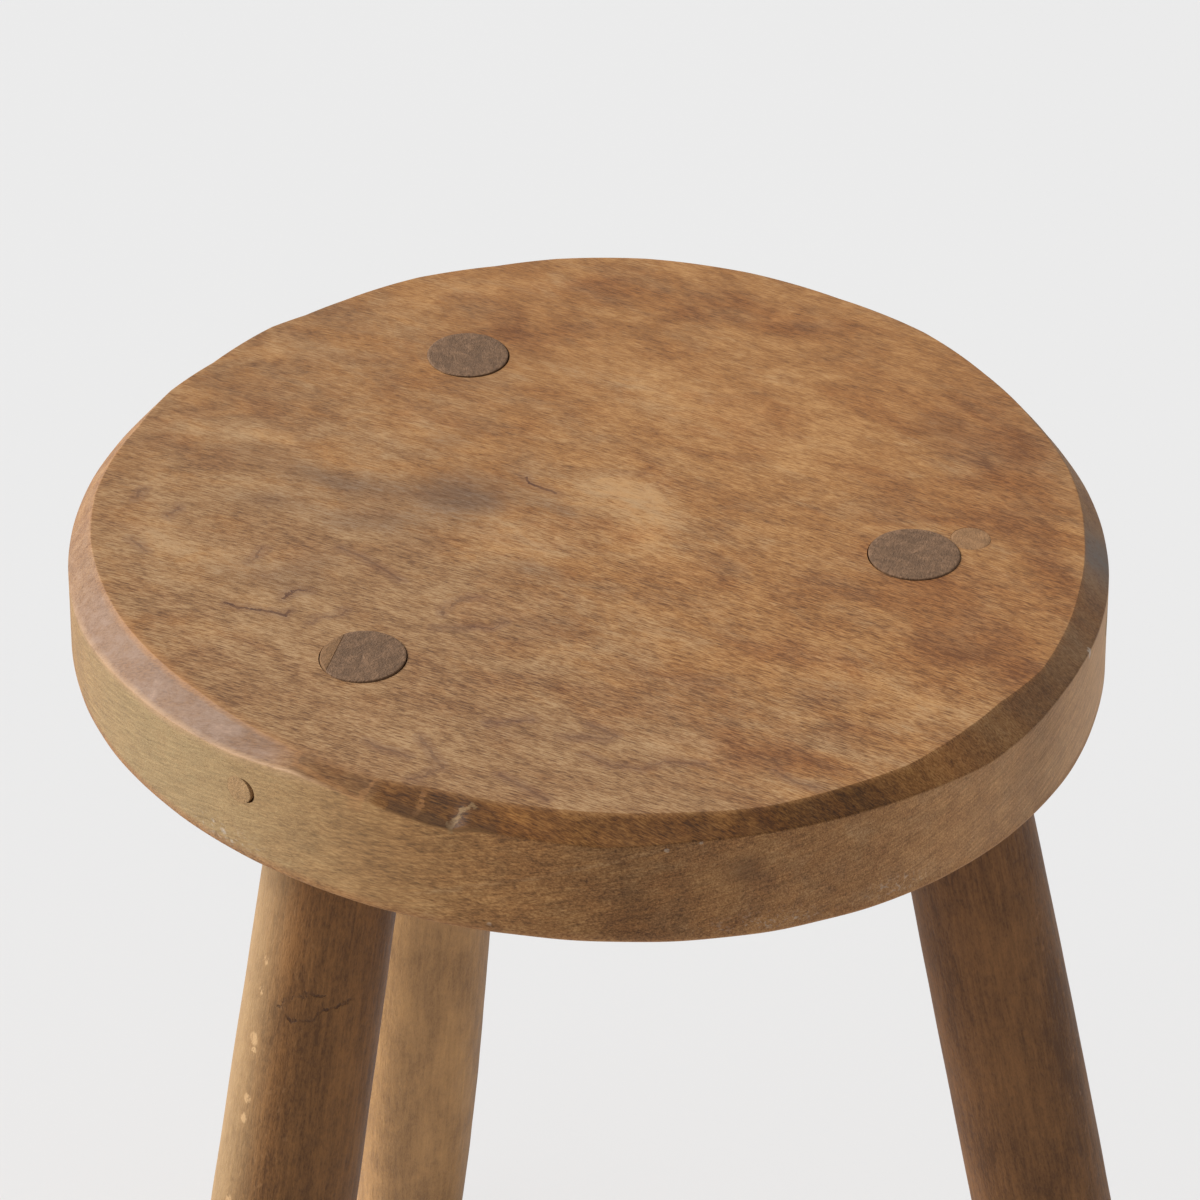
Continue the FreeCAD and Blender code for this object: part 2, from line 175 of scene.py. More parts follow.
# Lines on the bevel, in plan: rubbed orange borders of its knife cuts, and a lifted pale splinter.
ORANGE_LINES = (
    ((-71.4, -109.9), (-72.9, -113.7), (-63.5, -120.6), (-56.4, -126.4), (-52.8, -120.3)),
    ((-42.2, -130.6), (-40.4, -125.4)),
)
SPLINTER = (((-34.4, -133.5), (-32.0, -132.5), (-30.1, -131.1), (-28.6, -129.6)),)

# A small pale chip on the bevel's outer edge, in plan with its half size.
CHIP = (127.0, -57.4, 1.3)

# Marks on the rim wall: direction and height above the underside, and then a half size for spots.
ARRIS_SHADOW = (
    ((-111, 31.6), (-109.2, 31.3), (-105.3, 30.3), (-103.9, 29.9), (-102, 30.9), (-99.8, 31.2)),
)
PALE_SCRATCH = (((-108.6, 7.0), (-102.3, 13.4), (-93.6, 20.4), (-83.4, 28.8)),)
PALE_SPOTS = (
    (-131.1, 5.1, 1.3),
    (-132.8, 6.3, 0.8),
    (-82.6, 28.6, 1.0),
    (-79.0, 30.3, 0.7),
    (-100.0, 3.0, 0.9),
)

# Scuffs on the rim wall: direction, height above the underside, and half sizes both ways.
SCUFFS = ((-131, 4.0, 4.0, 3.0), (-72, 3.0, 5.0, 3.0), (-58, 5.0, 3.0, 2.0))

# Soft patches on the seat's top: x, y, half length, half width, turn and strength.
GREY_PATCHES = (
    (-36, 5, 16, 10, -10, 0.85),
    (-68, 12, 16, 6, -15, 0.6),
    (-86, 2, 14, 5, -15, 0.4),
    (-94, 26, 18, 4, -20, 0.3),
    (-58, -9, 18, 8, -12, 0.5),
    (-73, -26, 9, 6, -10, 0.3),
    (96, -62, 10, 6, -20, 0.4),
    (63, -77, 10, 5, -20, 0.35),
    (-12, 74, 16, 7, -10, 0.35),
    (-84, -34, 20, 9, -10, 0.4),
    (-40, 34, 10, 8, 20, 0.5),
    (-8, 0, 7, 4, -38, 0.6),
    (-13, -31, 9, 4, -20, 0.5),
    (-9, -54, 12, 4, -20, 0.4),
    (30, -77, 10, 5, -25, 0.35),
    (95, 42, 12, 10, -30, 0.4),
    (-20, -98, 26, 8, -15, 0.25),
)
DARK_PATCHES = (
    (92, -48, 12, 15, 0, 0.5),
    (106, -56, 11, 8, -20, 0.75),
    (109, -71, 8, 5, -15, 1.0),
    (89, -62, 13, 6, -25, 0.65),
    (52, 102, 26, 7, -28, 0.8),
    (2, 117, 12, 6, -5, 0.8),
    (10, 106, 26, 8, -8, 0.4),
    (-18, 88, 18, 9, -20, 0.4),
    (-54, 82, 17, 7, -15, 0.5),
    (-90, 48, 22, 6, -35, 0.3),
    (-112, 30, 14, 6, -30, 0.5),
    (108, 38, 14, 22, 8, 0.75),
    (117, 3, 11, 30, 0, 0.4),
    (122, -24, 6, 20, 10, 0.5),
    (88, -3, 18, 6, -3, 0.65),
    (104, -4, 9, 9, 0, 0.4),
    (87, -34, 14, 8, -12, 0.75),
    (71, -17, 9, 8, 0, 0.5),
    (86, -77, 8, 5, -20, 0.55),
    (20, -78, 14, 6, -20, 0.45),
    (-22, -79, 9, 6, -20, 0.45),
    (-20, -63, 18, 5, -10, 0.3),
    (2, -95, 10, 6, -20, 0.45),
    (-57, -96, 9, 6, -20, 0.4),
    (57, -65, 12, 5, -20, 0.45),
    (84, -66, 8, 4, -15, 0.35),
    (78, 15, 9, 7, 0, 0.3),
    (34, 76, 14, 7, -15, 0.3),
    (72, 74, 11, 6, -15, 0.45),
    (-60, -7, 12, 6, -10, 0.3),
    (17, -92, 24, 5, -20, 0.4),
    (46, -109, 19, 6, -14, 0.85),
    (0, -9, 13, 5, -30, 0.65),
    (43, -61, 16, 6, -22, 0.7),
    (60, -100, 14, 5, -20, 0.3),
    (-45, -32, 20, 5, -20, 0.12),
    (60, -35, 26, 6, -28, 0.25),
    (82, 60, 14, 24, 20, 0.1),
    (-42, -96, 14, 7, -20, 0.35),
)
PALE_PATCHES = (
    (9, 7, 12, 10, -50, 1.4),
    (16, -10, 8, 10, -30, 1.0),
    (-18, -17, 15, 11, -25, 0.9),
    (-117, -12, 9, 14, 0, 0.75),
    (-100, -18, 20, 9, -20, 0.4),
    (-96, 35, 20, 6, -18, 0.7),
    (-46, 42, 12, 12, 0, 0.25),
    (-49, 45, 10, 6, -15, 0.5),
    (25, 58, 30, 12, -20, 0.4),
    (43, 37, 34, 16, -25, 0.5),
    (-76, -69, 10, 5, -10, 0.5),
    (68, -74, 26, 6, -28, 0.45),
    (5, -70, 24, 5, -20, 0.25),
    (-26, -46, 13, 7, -20, 0.6),
    (20, -24, 14, 7, -25, 0.5),
    (81, 56, 11, 9, 0, 0.4),
    (22, -106, 16, 5, -15, 0.4),
    (-12, -94, 18, 6, -15, 0.2),
    (-30, 114, 26, 6, 10, 0.6),
    (86, -88, 12, 5, -25, 0.15),
    (107, -34, 8, 12, 0, 0.3),
    (-100, -60, 14, 10, -40, 0.3),
    (-60, -92, 20, 8, -30, 0.12),
    (-90, -26, 14, 8, -15, 0.4),
    (19, -108, 9, 5, -10, 0.3),
)

# Where the top is cooler than its grain makes it, or warmer where the strength is below 0.
COOL_PATCHES = (
    (8, 4, 18, 18, 0, 0.4),
    (112, 32, 24, 24, 0, 0.4),
    (68, 50, 32, 32, 0, -0.4),
    (-72, 40, 30, 30, 0, -0.3),
)

# Cracks in the seat's top, as broken lines in plan: the open ones, and the faint ones.
OPEN_CRACKS = (
    ((-18.7, 15.5), (-17.5, 12.1), (-14.5, 10.2), (-11.3, 8.3), (-9.7, 6.9)),
    ((-80.2, -43.2), (-77.6, -40.7), (-73.7, -40.1)),
    ((-94.5, -46.0), (-91.7, -47.4), (-84.3, -49.2), (-78.6, -51.1), (-77.6, -49.1)),
)
FAINT_CRACKS = (
    ((-0.3, -97.0), (6.2, -101.4), (3.5, -102.8), (-6.7, -101.7)),
    ((-1.2, -109.7), (4.6, -113.5), (12.1, -114.7), (18.4, -111.9), (28.0, -112.6)),
    ((-122.1, 2.1), (-121.5, 4.8), (-120.0, 7.5)),
    ((-112.5, -6.0), (-110.3, -1.1)),
    ((-121.8, -16.5), (-119.6, -19.0), (-117.3, -22.0)),
    ((-89.8, -27.0), (-87.3, -21.4), (-86.2, -20.3)),
    ((-67.0, -19.4), (-60.5, -23.8), (-53.4, -30.7), (-49.9, -34.7)),
    ((-72.3, -53.8), (-69.7, -51.8), (-64.8, -50.8), (-64.0, -48.3)),
    ((-38.4, -49.8), (-38.0, -46.8), (-34.2, -42.3), (-28.6, -42.2)),
    ((-40.5, -55.6), (-31.6, -55.9), (-26.1, -55.3), (-22.8, -52.8)),
    ((-25.5, -97.1), (-19.1, -95.6), (-14.8, -95.0)),
    ((-42.3, -102.8), (-39.3, -109.3), (-36.2, -115.7), (-44.0, -120.9)),
    ((-55.2, -104.7), (-52.9, -107.1), (-48.2, -109.1), (-44.9, -111.1)),
    ((-22.1, -118.1), (-14.8, -124.1), (-11.1, -127.5)),
    ((45.5, -115.4), (49.8, -119.8), (55.1, -121.9)),
)

# The front left and right legs differ in colour: what each of them makes of the legs' own wood.
# The back left leg's strong tint is painted light: it brightens that leg's front side, which lies
# in shade.
LEG_TINTS_WITH_PAINTED_LIGHT = {
    "front_left": (0.76, 0.67, 0.60),
    "right": (0.70, 0.61, 0.58),
    "back_left": (1.56, 1.69, 1.90),
}
FAR_TINT = (0.78, 0.71, 0.665)

# How bold each leg's streaks and mottling are on the side towards the front.
LEG_BOLDNESS = {"front_left": 1.0, "right": 0.9, "back_left": 0.45}

# Cracks and pale knocks on the front left leg: down along the leg and sideways from its outer
# line, and then a half size for the knocks.
LEG_CRACKS = (
    ((95.1, -3.6), (92.3, -4.8), (90.5, -8.9), (88.7, -10.4), (89.1, -13.5)),
    ((96.9, -6.2), (98.2, -7.6), (97.0, -10.4), (93.9, -14.3), (90.1, -17.0)),
)
LEG_KNOCKS = (
    (83.8, 2.4, 1.6),
    (93.2, 2.7, 1.5),
    (107.8, 2.9, 2.4),
    (111.0, 2.4, 1.2),
    (125.6, 2.1, 2.0),
    (131.4, 2.1, 1.9),
    (157.4, 3.6, 2.2),
)

# Where the plug lies on the top, and in which direction the slip lies from its tenon's middle.
PLUG_PLACE = (99.4, -11.9)
SLIP_DIRECTION = 167.0

# How far each peg goes on beyond its tenon.
PEG_TAIL = 7.0

# How many points go round the seat, a leg or a cutter, a peg and the plug.
ROUND_STEPS = 720
LEG_STEPS = 96
PEG_STEPS = 48
PLUG_STEPS = 64


class StoolSeatSettings(bpy.types.PropertyGroup):
    """Sizes and colours of the seat board."""

    mean_width: bpy.props.FloatProperty(
        name="Mean width",
        description="Width of the hand-cut board, on the average",
        default=0.2787,
        unit="LENGTH",
    )
    mortise_width: bpy.props.FloatProperty(
        name="Mortise width",
        description="Width of the hole for each leg's tenon",
        default=0.0242,
        unit="LENGTH",
    )
    light_wood: bpy.props.FloatVectorProperty(
        name="Light wood",
        description="The palest streaks of the board",
        default=(0.54, 0.294, 0.120),
        subtype="COLOR",
    )
    middle_wood: bpy.props.FloatVectorProperty(
        name="Middle wood",
        description="The board's usual colour",
        default=(0.35, 0.163, 0.057),
        subtype="COLOR",
    )
    dark_wood: bpy.props.FloatVectorProperty(
        name="Dark wood",
        description="The darkest streaks of the board",
        default=(0.155, 0.066, 0.0245),
        subtype="COLOR",
    )
    grey_stain: bpy.props.FloatVectorProperty(
        name="Grey stain",
        description="What the old grey stains leave of the colour below them",
        default=(0.56, 0.63, 0.87),
        subtype="COLOR",
    )
    rubbed_edge: bpy.props.FloatVectorProperty(
        name="Rubbed edge",
        description="Bare wood where edges are rubbed through",
        default=(0.46, 0.22, 0.085),
        subtype="COLOR",
    )


class StoolLegSettings(bpy.types.PropertyGroup):
    """Sizes and colours of the three legs."""

    splay: bpy.props.FloatProperty(
        name="Splay",
        description="Lean of each leg from the upright",
        default=math.radians(12.6),
        subtype="ANGLE",
    )
    neck_width: bpy.props.FloatProperty(
        name="Neck width",
        description="Width of the leg at the seat's underside",
        default=0.0350,
        unit="LENGTH",
    )
    swell_width: bpy.props.FloatProperty(
        name="Swell width",
        description="Width of the leg at its thickest",
        default=0.0400,
        unit="LENGTH",
    )
    swell_height: bpy.props.FloatProperty(
        name="Swell height",
        description="Height of the thickest place above the floor",
        default=0.130,
        unit="LENGTH",
    )
    foot_width: bpy.props.FloatProperty(
        name="Foot width",
        description="Width of the leg at the floor",
        default=0.0345,
        unit="LENGTH",
    )
    tenon_width: bpy.props.FloatProperty(
        name="Tenon width",
        description="Width of the round tenon on the leg's top",
        default=0.024,
        unit="LENGTH",
    )
    tenon_proud: bpy.props.FloatProperty(
        name="Tenon proud",
        description="How far the tenon's end stands above the seat",
        default=0.0003,
        unit="LENGTH",
        precision=5,
    )
    light_wood: bpy.props.FloatVectorProperty(
        name="Light wood",
        description="The palest streaks of the legs",
        default=(0.365, 0.186, 0.066),
        subtype="COLOR",
    )
    dark_wood: bpy.props.FloatVectorProperty(
        name="Dark wood",
        description="The darkest streaks of the legs",
        default=(0.16, 0.077, 0.028),
        subtype="COLOR",
    )
    end_wood: bpy.props.FloatVectorProperty(
        name="End wood",
        description="Greyed end grain of the tenons",
        default=(0.225, 0.13, 0.074),
        subtype="COLOR",
    )


class StoolSmallSettings(bpy.types.PropertyGroup):
    """Sizes and colours of the pegs, the plug and the slip."""

    peg_width: bpy.props.FloatProperty(
        name="Peg width",
        description="Width of the pegs that lock the tenons",
        default=0.0078,
        unit="LENGTH",
    )
    peg_depth: bpy.props.FloatProperty(
        name="Peg depth",
        description="Seat's top down to the middle of each peg",
        default=0.0136,
        unit="LENGTH",
    )
    plug_width: bpy.props.FloatProperty(
        name="Plug width",
        description="Width of the plug beside the right tenon",
        default=0.0106,
        unit="LENGTH",
    )
    plug_depth: bpy.props.FloatProperty(
        name="Plug depth",
        description="How deep the plug goes into the seat",
        default=0.007,
        unit="LENGTH",
    )
    slip_thickness: bpy.props.FloatProperty(
        name="Slip thickness",
        description="Thickness of the slip at the front left tenon's side",
        default=0.0039,
        unit="LENGTH",
    )
    slip_depth: bpy.props.FloatProperty(
        name="Slip depth",
        description="How deep the slip goes down beside the tenon",
        default=0.009,
        unit="LENGTH",
    )
    peg_wood: bpy.props.FloatVectorProperty(
        name="Peg wood",
        description="Worn end grain of the pegs",
        default=(0.43, 0.258, 0.12),
        subtype="COLOR",
    )
    patch_wood: bpy.props.FloatVectorProperty(
        name="Patch wood",
        description="The paler wood of the plug and the slip",
        default=(0.335, 0.182, 0.086),
        subtype="COLOR",
    )


class StoolStageSettings(bpy.types.PropertyGroup):
    """Floor, light and camera."""

    floor: bpy.props.FloatVectorProperty(
        name="Floor",
        description="Colour of the plain pale floor",
        default=(0.80, 0.80, 0.80),
        subtype="COLOR",
    )
    light_direction: bpy.props.FloatProperty(
        name="Light direction",
        description="Where the soft main light stands, seen from above",
        default=math.radians(168.0),
        subtype="ANGLE",
    )
    light_height: bpy.props.FloatProperty(
        name="Light height",
        description="How high the main light stands above the horizon",
        default=math.radians(33.0),
        subtype="ANGLE",
    )
    light_level: bpy.props.FloatProperty(
        name="Light level",
        description="Strength of the main light",
        default=4.3,
    )
    light_softness: bpy.props.FloatProperty(
        name="Light softness",
        description="How wide the main light looks from the stool",
        default=math.radians(32.0),
        subtype="ANGLE",
    )
    fill_level: bpy.props.FloatProperty(
        name="Fill level",
        description="Strength of the even light from all round",
        default=0.30,
    )
    backdrop: bpy.props.FloatVectorProperty(
        name="Backdrop",
        description="Colour seen behind the floor",
        default=(0.80, 0.80, 0.80),
        subtype="COLOR",
    )
    camera_place: bpy.props.FloatVectorProperty(
        name="Camera place",
        description="Where the camera stands, from the middle of the seat's underside",
        default=(0.0, -0.9905, 0.6878),
        subtype="TRANSLATION",
        unit="LENGTH",
    )
    camera_fall: bpy.props.FloatProperty(
        name="Camera fall",
        description="How far the camera looks down below the level",
        default=math.radians(34.59),
        subtype="ANGLE",
    )
    camera_turn: bpy.props.FloatProperty(
        name="Camera turn",
        description="How far the camera looks to the right of straight ahead",
        default=math.radians(0.11),
        subtype="ANGLE",
    )
    camera_tilt: bpy.props.FloatProperty(
        name="Camera tilt",
        description="How far the camera leans to one side",
        default=math.radians(0.76),
        subtype="ANGLE",
    )
    camera_lens: bpy.props.FloatProperty(
        name="Camera lens",
        description="Focal length on a sensor 36 mm wide",
        default=133.95,
        unit="CAMERA",
    )


class Value:
    """A value in a node graph. Plain arithmetic on it adds the Math nodes."""

    def __init__(self, graph, socket):
        self.graph = graph
        self.socket = socket

    def _math(self, operation, first, second):
        return self.graph.node("ShaderNodeMath", {"operation": operation}, {0: first, 1: second})

    def __add__(self, other):
        return self._math("ADD", self, other)

    def __radd__(self, other):
        return self._math("ADD", other, self)

    def __sub__(self, other):
        return self._math("SUBTRACT", self, other)

    def __rsub__(self, other):
        return self._math("SUBTRACT", other, self)

    def __mul__(self, other):
        return self._math("MULTIPLY", self, other)

    def __rmul__(self, other):
        return self._math("MULTIPLY", other, self)

    def least(self, other):
        """The lesser of the two values."""
        return self._math("MINIMUM", self, other)

    def most(self, other):
        """The greater of the two values."""
        return self._math("MAXIMUM", self, other)

    def held(self):
        """The value kept between 0 and 1."""
        return self.least(1.0).most(0.0)


class Graph:
    """Adds nodes to the tree of one material or of the world."""

    def __init__(self, tree):
        self.tree = tree

    def node(self, kind, settings, inputs, output=0):
        """Adds a node, sets it up, feeds its sockets and returns one of its outputs."""
        made = self.tree.nodes.new(kind)
        for key, setting in settings.items():
            if key == "stops":
                self._set_stops(made.color_ramp, setting)
            else:
                setattr(made, key, setting)
        for key, value in inputs.items():
            self.feed(made.inputs[key], value)
        return Value(self, made.outputs[output])

    def _set_stops(self, ramp, stops):
        while len(ramp.elements) < len(stops):
            ramp.elements.new(1.0)
        for element, (place, colour) in zip(ramp.elements, stops):
            element.position = place
            element.color = (*colour, 1.0)

    def feed(self, socket, value):
        """Links a value to a socket, or sets the socket's own number, vector or colour."""
        if isinstance(value, Value):
            self.tree.links.new(value.socket, socket)
        elif socket.type == "RGBA":
            socket.default_value = (*tuple(value)[:3], 1.0)
        else:
            socket.default_value = value

    def attribute(self, name, output="Fac"):
        """A value that the mesh carries at its points."""
        return self.node("ShaderNodeAttribute", {"attribute_name": name}, {}, output)

    def stretched(self, vector, sizes):
        """A place divided by a size along each axis."""
        share = tuple(1.0 / size for size in sizes)
        return self.node("ShaderNodeVectorMath", {"operation": "MULTIPLY"}, {0: vector, 1: share})

    def lumps(self, vector, sizes, detail=3.0, roughness=0.55, distortion=0.0):
        """Noise from 0 to 1 with lumps of the given sizes along the vector's axes."""
        inputs = {
            "Vector": self.stretched(vector, sizes),
            "Scale": 1.0,
            "Detail": detail,
            "Roughness": roughness,
            "Distortion": distortion,
        }
        return self.node("ShaderNodeTexNoise", {}, inputs)

    def step(self, value, low, high):
        """0 at low, 1 at high and smooth between."""
        inputs = {"Value": value, "From Min": low, "From Max": high}
        return self.node("ShaderNodeMapRange", {"interpolation_type": "SMOOTHSTEP"}, inputs)

    def blend(self, share, first, second, kind="MIX"):
        """The first colour where share is 0 and the second where it is 1."""
        settings = {"data_type": "RGBA", "blend_type": kind}
        return self.node("ShaderNodeMix", settings, {0: share, 6: first, 7: second}, 2)

    def ramp(self, value, stops):
        """A colour picked along a row of stops."""
        return self.node("ShaderNodeValToRGB", {"stops": stops}, {"Fac": value})

    def parts(self, vector):
        """The three parts of a vector."""
        made = [self.node("ShaderNodeSeparateXYZ", {}, {0: vector}, part) for part in "XYZ"]
        return tuple(made)

    def line_gap(self, x, y, lines):
        """The square of the distance to the nearest of a set of broken lines."""
        nearest = None
        for line in lines:
            for (start_x, start_y), (end_x, end_y) in zip(line, line[1:]):
                run_x = end_x - start_x
                run_y = end_y - start_y
                square = run_x * run_x + run_y * run_y
                share = (x - start_x) * (run_x / square) + (y - start_y) * (run_y / square)
                share = share.held()
                off_x = x - start_x - share * run_x
                off_y = y - start_y - share * run_y
                gap = off_x * off_x + off_y * off_y
                nearest = gap if nearest is None else nearest.least(gap)
        return nearest

    def near(self, gap, width):
        """1 where a squared distance is small and 0 beyond the width."""
        return 1.0 - self.step(gap, 0.1 * width * width, width * width)

    def dabs(self, x, y, dabs):
        """1 on a set of small soft spots, a little flattened, each at x and y with a half size."""
        nearest = None
        for spot_x, spot_y, half in dabs:
            off_x = (x - spot_x) * (1.0 / half)
            off_y = (y - spot_y) * (1.35 / half)
            gap = off_x * off_x + off_y * off_y
            nearest = gap if nearest is None else nearest.least(gap)
        return 1.0 - self.step(nearest, 0.25, 1.0)


class Finish(Graph):
    """A wood finish in the making: a material with one surface shader."""

    def __init__(self, name):
        self.material = bpy.data.materials.new(name)
        self.material.use_nodes = True
        super().__init__(self.material.node_tree)
        self.surface = self.tree.nodes["Principled BSDF"]

    def close(self, colour, roughness, height, depth, shine=0.22):
        """Feeds the shader: colour, roughness, a bump with its depth in metres, and shine."""
        normal = self.node("ShaderNodeBump", {}, {"Height": height, "Distance": depth})
        self.feed(self.surface.inputs["Base Color"], colour)
        self.feed(self.surface.inputs["Roughness"], roughness)
        self.feed(self.surface.inputs["Normal"], normal)
        self.feed(self.surface.inputs["Specular IOR Level"], shine)
        return self.material


def rise(value, low, high):
    """0 below low, 1 above high and smooth between, for arrays."""
    share = np.clip((value - low) / (high - low), 0.0, 1.0)
    return share * share * (3.0 - 2.0 * share)


def hump(value, middle, half):
    """1 at the middle and falling away smoothly on both sides, for arrays."""
    return np.exp(-(((value - middle) / half) ** 2))


def shaded(colour, share):
    """A colour made darker or paler by a share."""
    return tuple(share * part for part in colour)


def unevenness(points, size, seed):
    """Smooth noise from about -1 to 1 at each point, with lumps of the given size."""
    shift = Vector((17.3 * seed, 5.1 * seed, 9.7 * seed))
    return np.array([noise.noise(Vector(point) / size + shift) for point in points])


def soft_patches(x, y, patches):
    """The sum of soft oval patches at each place."""
    total = np.zeros_like(x)
    for patch_x, patch_y, half_long, half_wide, turn, strength in patches:
        angle = math.radians(turn)
        along = (x - patch_x) * math.cos(angle) + (y - patch_y) * math.sin(angle)
        across = (y - patch_y) * math.cos(angle) - (x - patch_x) * math.sin(angle)
        total += strength * np.exp(-((along / half_long) ** 2) - (across / half_wide) ** 2)
    return total


def placed(name, data):
    """A new object of the scene for a mesh, a lamp or a camera."""
    made = bpy.data.objects.new(name, data)
    bpy.context.scene.collection.objects.link(made)
    return made


def ring_round(middle, first, second, angle, reach):
    """A ring of points round a middle, across two directions."""
    return middle + np.outer(np.cos(angle) * reach, first) + np.outer(np.sin(angle) * reach, second)


def skin(name, rings, ends=None):
    """A closed object over rings of equal length, with a middle point at each end."""
    count = len(rings[0])
    first, last = ends or (rings[0].mean(axis=0), rings[-1].mean(axis=0))
    points = np.vstack([first, *rings, last]) * MM
    here = np.arange(count)
    beside = np.roll(here, -1)
    faces = [(0, 1 + a, 1 + b) for a, b in zip(here.tolist(), beside.tolist())]
    for ring in range(len(rings) - 1):
        near = 1 + ring * count
        far = near + count
        quads = np.stack([near + here, far + here, far + beside, near + beside], axis=1)
        faces.extend(quads.tolist())
    edge = 1 + (len(rings) - 1) * count
    end = len(points) - 1
    faces.extend((edge + a, end, edge + b) for a, b in zip(here.tolist(), beside.tolist()))
    mesh = bpy.data.meshes.new(name)
    mesh.from_pydata(points.tolist(), [], faces)
    mesh.update()
    return placed(name, mesh)


def cut_away(piece, cutters):
    """Takes the cutters out of a piece, and then removes the cutters."""
    for cutter in cutters:
        cut = piece.modifiers.new("cut", "BOOLEAN")
        cut.operation = "DIFFERENCE"
        cut.solver = "MANIFOLD"
        cut.object = cutter
    depsgraph = bpy.context.evaluated_depsgraph_get()
    solid = bpy.data.meshes.new_from_object(piece.evaluated_get(depsgraph))
    if not solid.polygons:
        raise RuntimeError(f"cutting left nothing of {piece.name}")
    plain = piece.data
    piece.modifiers.clear()
    piece.data = solid
    bpy.data.meshes.remove(plain)
    solid.name = piece.name
    for cutter in cutters:
        bpy.data.objects.remove(cutter)


def places(piece):
    """The piece's points as an array, in millimetres."""
    points = np.empty(len(piece.data.vertices) * 3)
    piece.data.vertices.foreach_get("co", points)
    return points.reshape(-1, 3) / MM


def carry(piece, name, values):
    """Stores a value, or a vector, at each of the piece's points for its finish to read."""
    kind = "FLOAT_VECTOR" if values.ndim == 2 else "FLOAT"
    field = "vector" if values.ndim == 2 else "value"
    stored = piece.data.attributes.new(name, kind, "POINT")
    stored.data.foreach_set(field, np.ascontiguousarray(values, dtype=np.float32).ravel())


def carry_grain(piece, own_frame):
    """Stores each point's place along the piece's grain, and across it both ways."""
    origin, first, second, axis = own_frame
    away = places(piece) - origin
    carry(piece, "grain", np.stack([away @ axis, away @ first, away @ second], axis=1))


def settle(piece, node, material, sharp=40.0):
    """Finishes a piece: smooth shading, its material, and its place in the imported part."""
    piece.data.shade_smooth()
    piece.data.set_sharp_from_angle(angle=math.radians(sharp))
    piece.data.materials.clear()
    piece.data.materials.append(material)
    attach(piece, "root")
    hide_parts(node)


def around(steps):
    """Even steps of angle round a full turn, in radians."""
    return np.arange(steps) * (2.0 * math.pi / steps)


def rim_distance(settings, azimuth):
    """The rim's distance from the top's middle in each direction, at the underside."""
    distance = np.full_like(azimuth, settings.mean_width / MM / 2)
    for times, amount, widest in RIM_SWELLS:
        distance = distance + amount * np.cos(times * (azimuth - math.radians(widest)))
    return distance


def wall_distance(settings, azimuth, height):
    """The rim wall's distance at a height: it leans in towards the top, most on the right."""
    lean = 0.5 + 0.9 * rise(np.cos(azimuth - math.radians(5.0)), -0.2, 0.9)
    return rim_distance(settings, azimuth) - lean * (height - UNDERSIDE) / (TOP - UNDERSIDE)


def round_seat(azimuth, rows, column):
    """One column of a table whose rows go round the seat, straight from row to row."""
    directions = [row[0] for row in rows]
    return np.interp(np.degrees(azimuth), directions, [row[column] for row in rows], period=360)


def rounded_run(corners, rounds, counts):
    """Rings along a section whose inner corners are rounded off.

    Each corner holds a distance and a height for every direction round the seat.
    """
    rings = []
    leave = corners[0]
    for index, corner in enumerate(corners[1:], start=1):
        shares = np.arange(1, counts[index - 1]) / counts[index - 1]
        if index == len(corners) - 1:
            rings.extend(leave + (corner - leave) * share for share in shares)
            break
        back = corners[index - 1] - corner
        ahead = corners[index + 1] - corner
        back /= np.linalg.norm(back, axis=1, keepdims=True)
        ahead /= np.linalg.norm(ahead, axis=1, keepdims=True)
        opening = np.arccos(np.clip(np.sum(back * ahead, axis=1), -1.0, 1.0))
        reach = (rounds[index - 1] / np.tan(opening / 2))[:, None]
        arrive = corner + back * reach
        depart = corner + ahead * reach
        rings.extend(leave + (arrive - leave) * share for share in shares)
        for bend in np.linspace(0.0, 1.0, 5):
            first = arrive + (corner - arrive) * bend
            second = corner + (depart - corner) * bend
            rings.append(first + (second - first) * bend)
        leave = depart
    return rings


def tube(name, levels, own_frame):
    """A round cutter: each level is a distance along the axis, a radius and an offset."""
    origin, first, second, axis = own_frame
    angle = around(LEG_STEPS)
    rings = []
    for along, radius, offset in levels:
        rings.append(ring_round(origin + axis * along + offset, first, second, angle, radius))
    return skin(name, rings)


def leg_frame(leg, splay):
    """A leg's own frame: where it meets the seat's top, outwards, sideways and down along it."""
    ring, direction, lean = LEGS[leg][:3]
    place = math.radians(direction)
    turn = math.radians(lean)
    origin = np.array((SEAT_X + ring * math.cos(place), SEAT_Y + ring * math.sin(place), TOP))
    level = np.array((math.cos(turn), math.sin(turn), 0.0))
    outward = level * math.cos(splay) + UPRIGHT * math.sin(splay)
    sideways = np.array((math.sin(turn), -math.cos(turn), 0.0))
    down = level * math.sin(splay) - UPRIGHT * math.cos(splay)
    return origin, outward, sideways, down


def tenon_radius(leg, width):
    """Half the width of a leg's own tenon, or of its mortise, from the usual width in metres."""
    return width / MM / 2 * LEGS[leg][4]


def peg_frame(leg, depth):
    """A peg's own frame: the rim's middle at the peg's height, sideways, up and out to the rim."""
    turn = math.radians(LEGS[leg][3])
    origin = np.array((RIM_X, RIM_Y, TOP - depth))
    outward = np.array((math.cos(turn), math.sin(turn), 0.0))
    sideways = np.array((-math.sin(turn), math.cos(turn), 0.0))
    return origin, sideways, UPRIGHT, outward


def board_swell(points):
    """How far the board swells out at each point, measured from the middle of its top."""
    return 0.35 * unevenness(points, 60.0, 4) + 0.10 * unevenness(points, 14.0, 5)


def face_swell(swell):
    """How far the flat faces stand out where the board swells."""
    return 0.5 * (swell - FACE_INSET)


def beyond_wall(points, settings):
    """How far each point near the rim lies outside the uneven wall."""
    spots = points - SEAT_MIDDLE
    azimuth = np.arctan2(spots[:, 1], spots[:, 0])
    wall = wall_distance(settings, azimuth, spots[:, 2]) - WALL_INSET - board_swell(spots)
    return np.hypot(spots[:, 0], spots[:, 1]) - wall


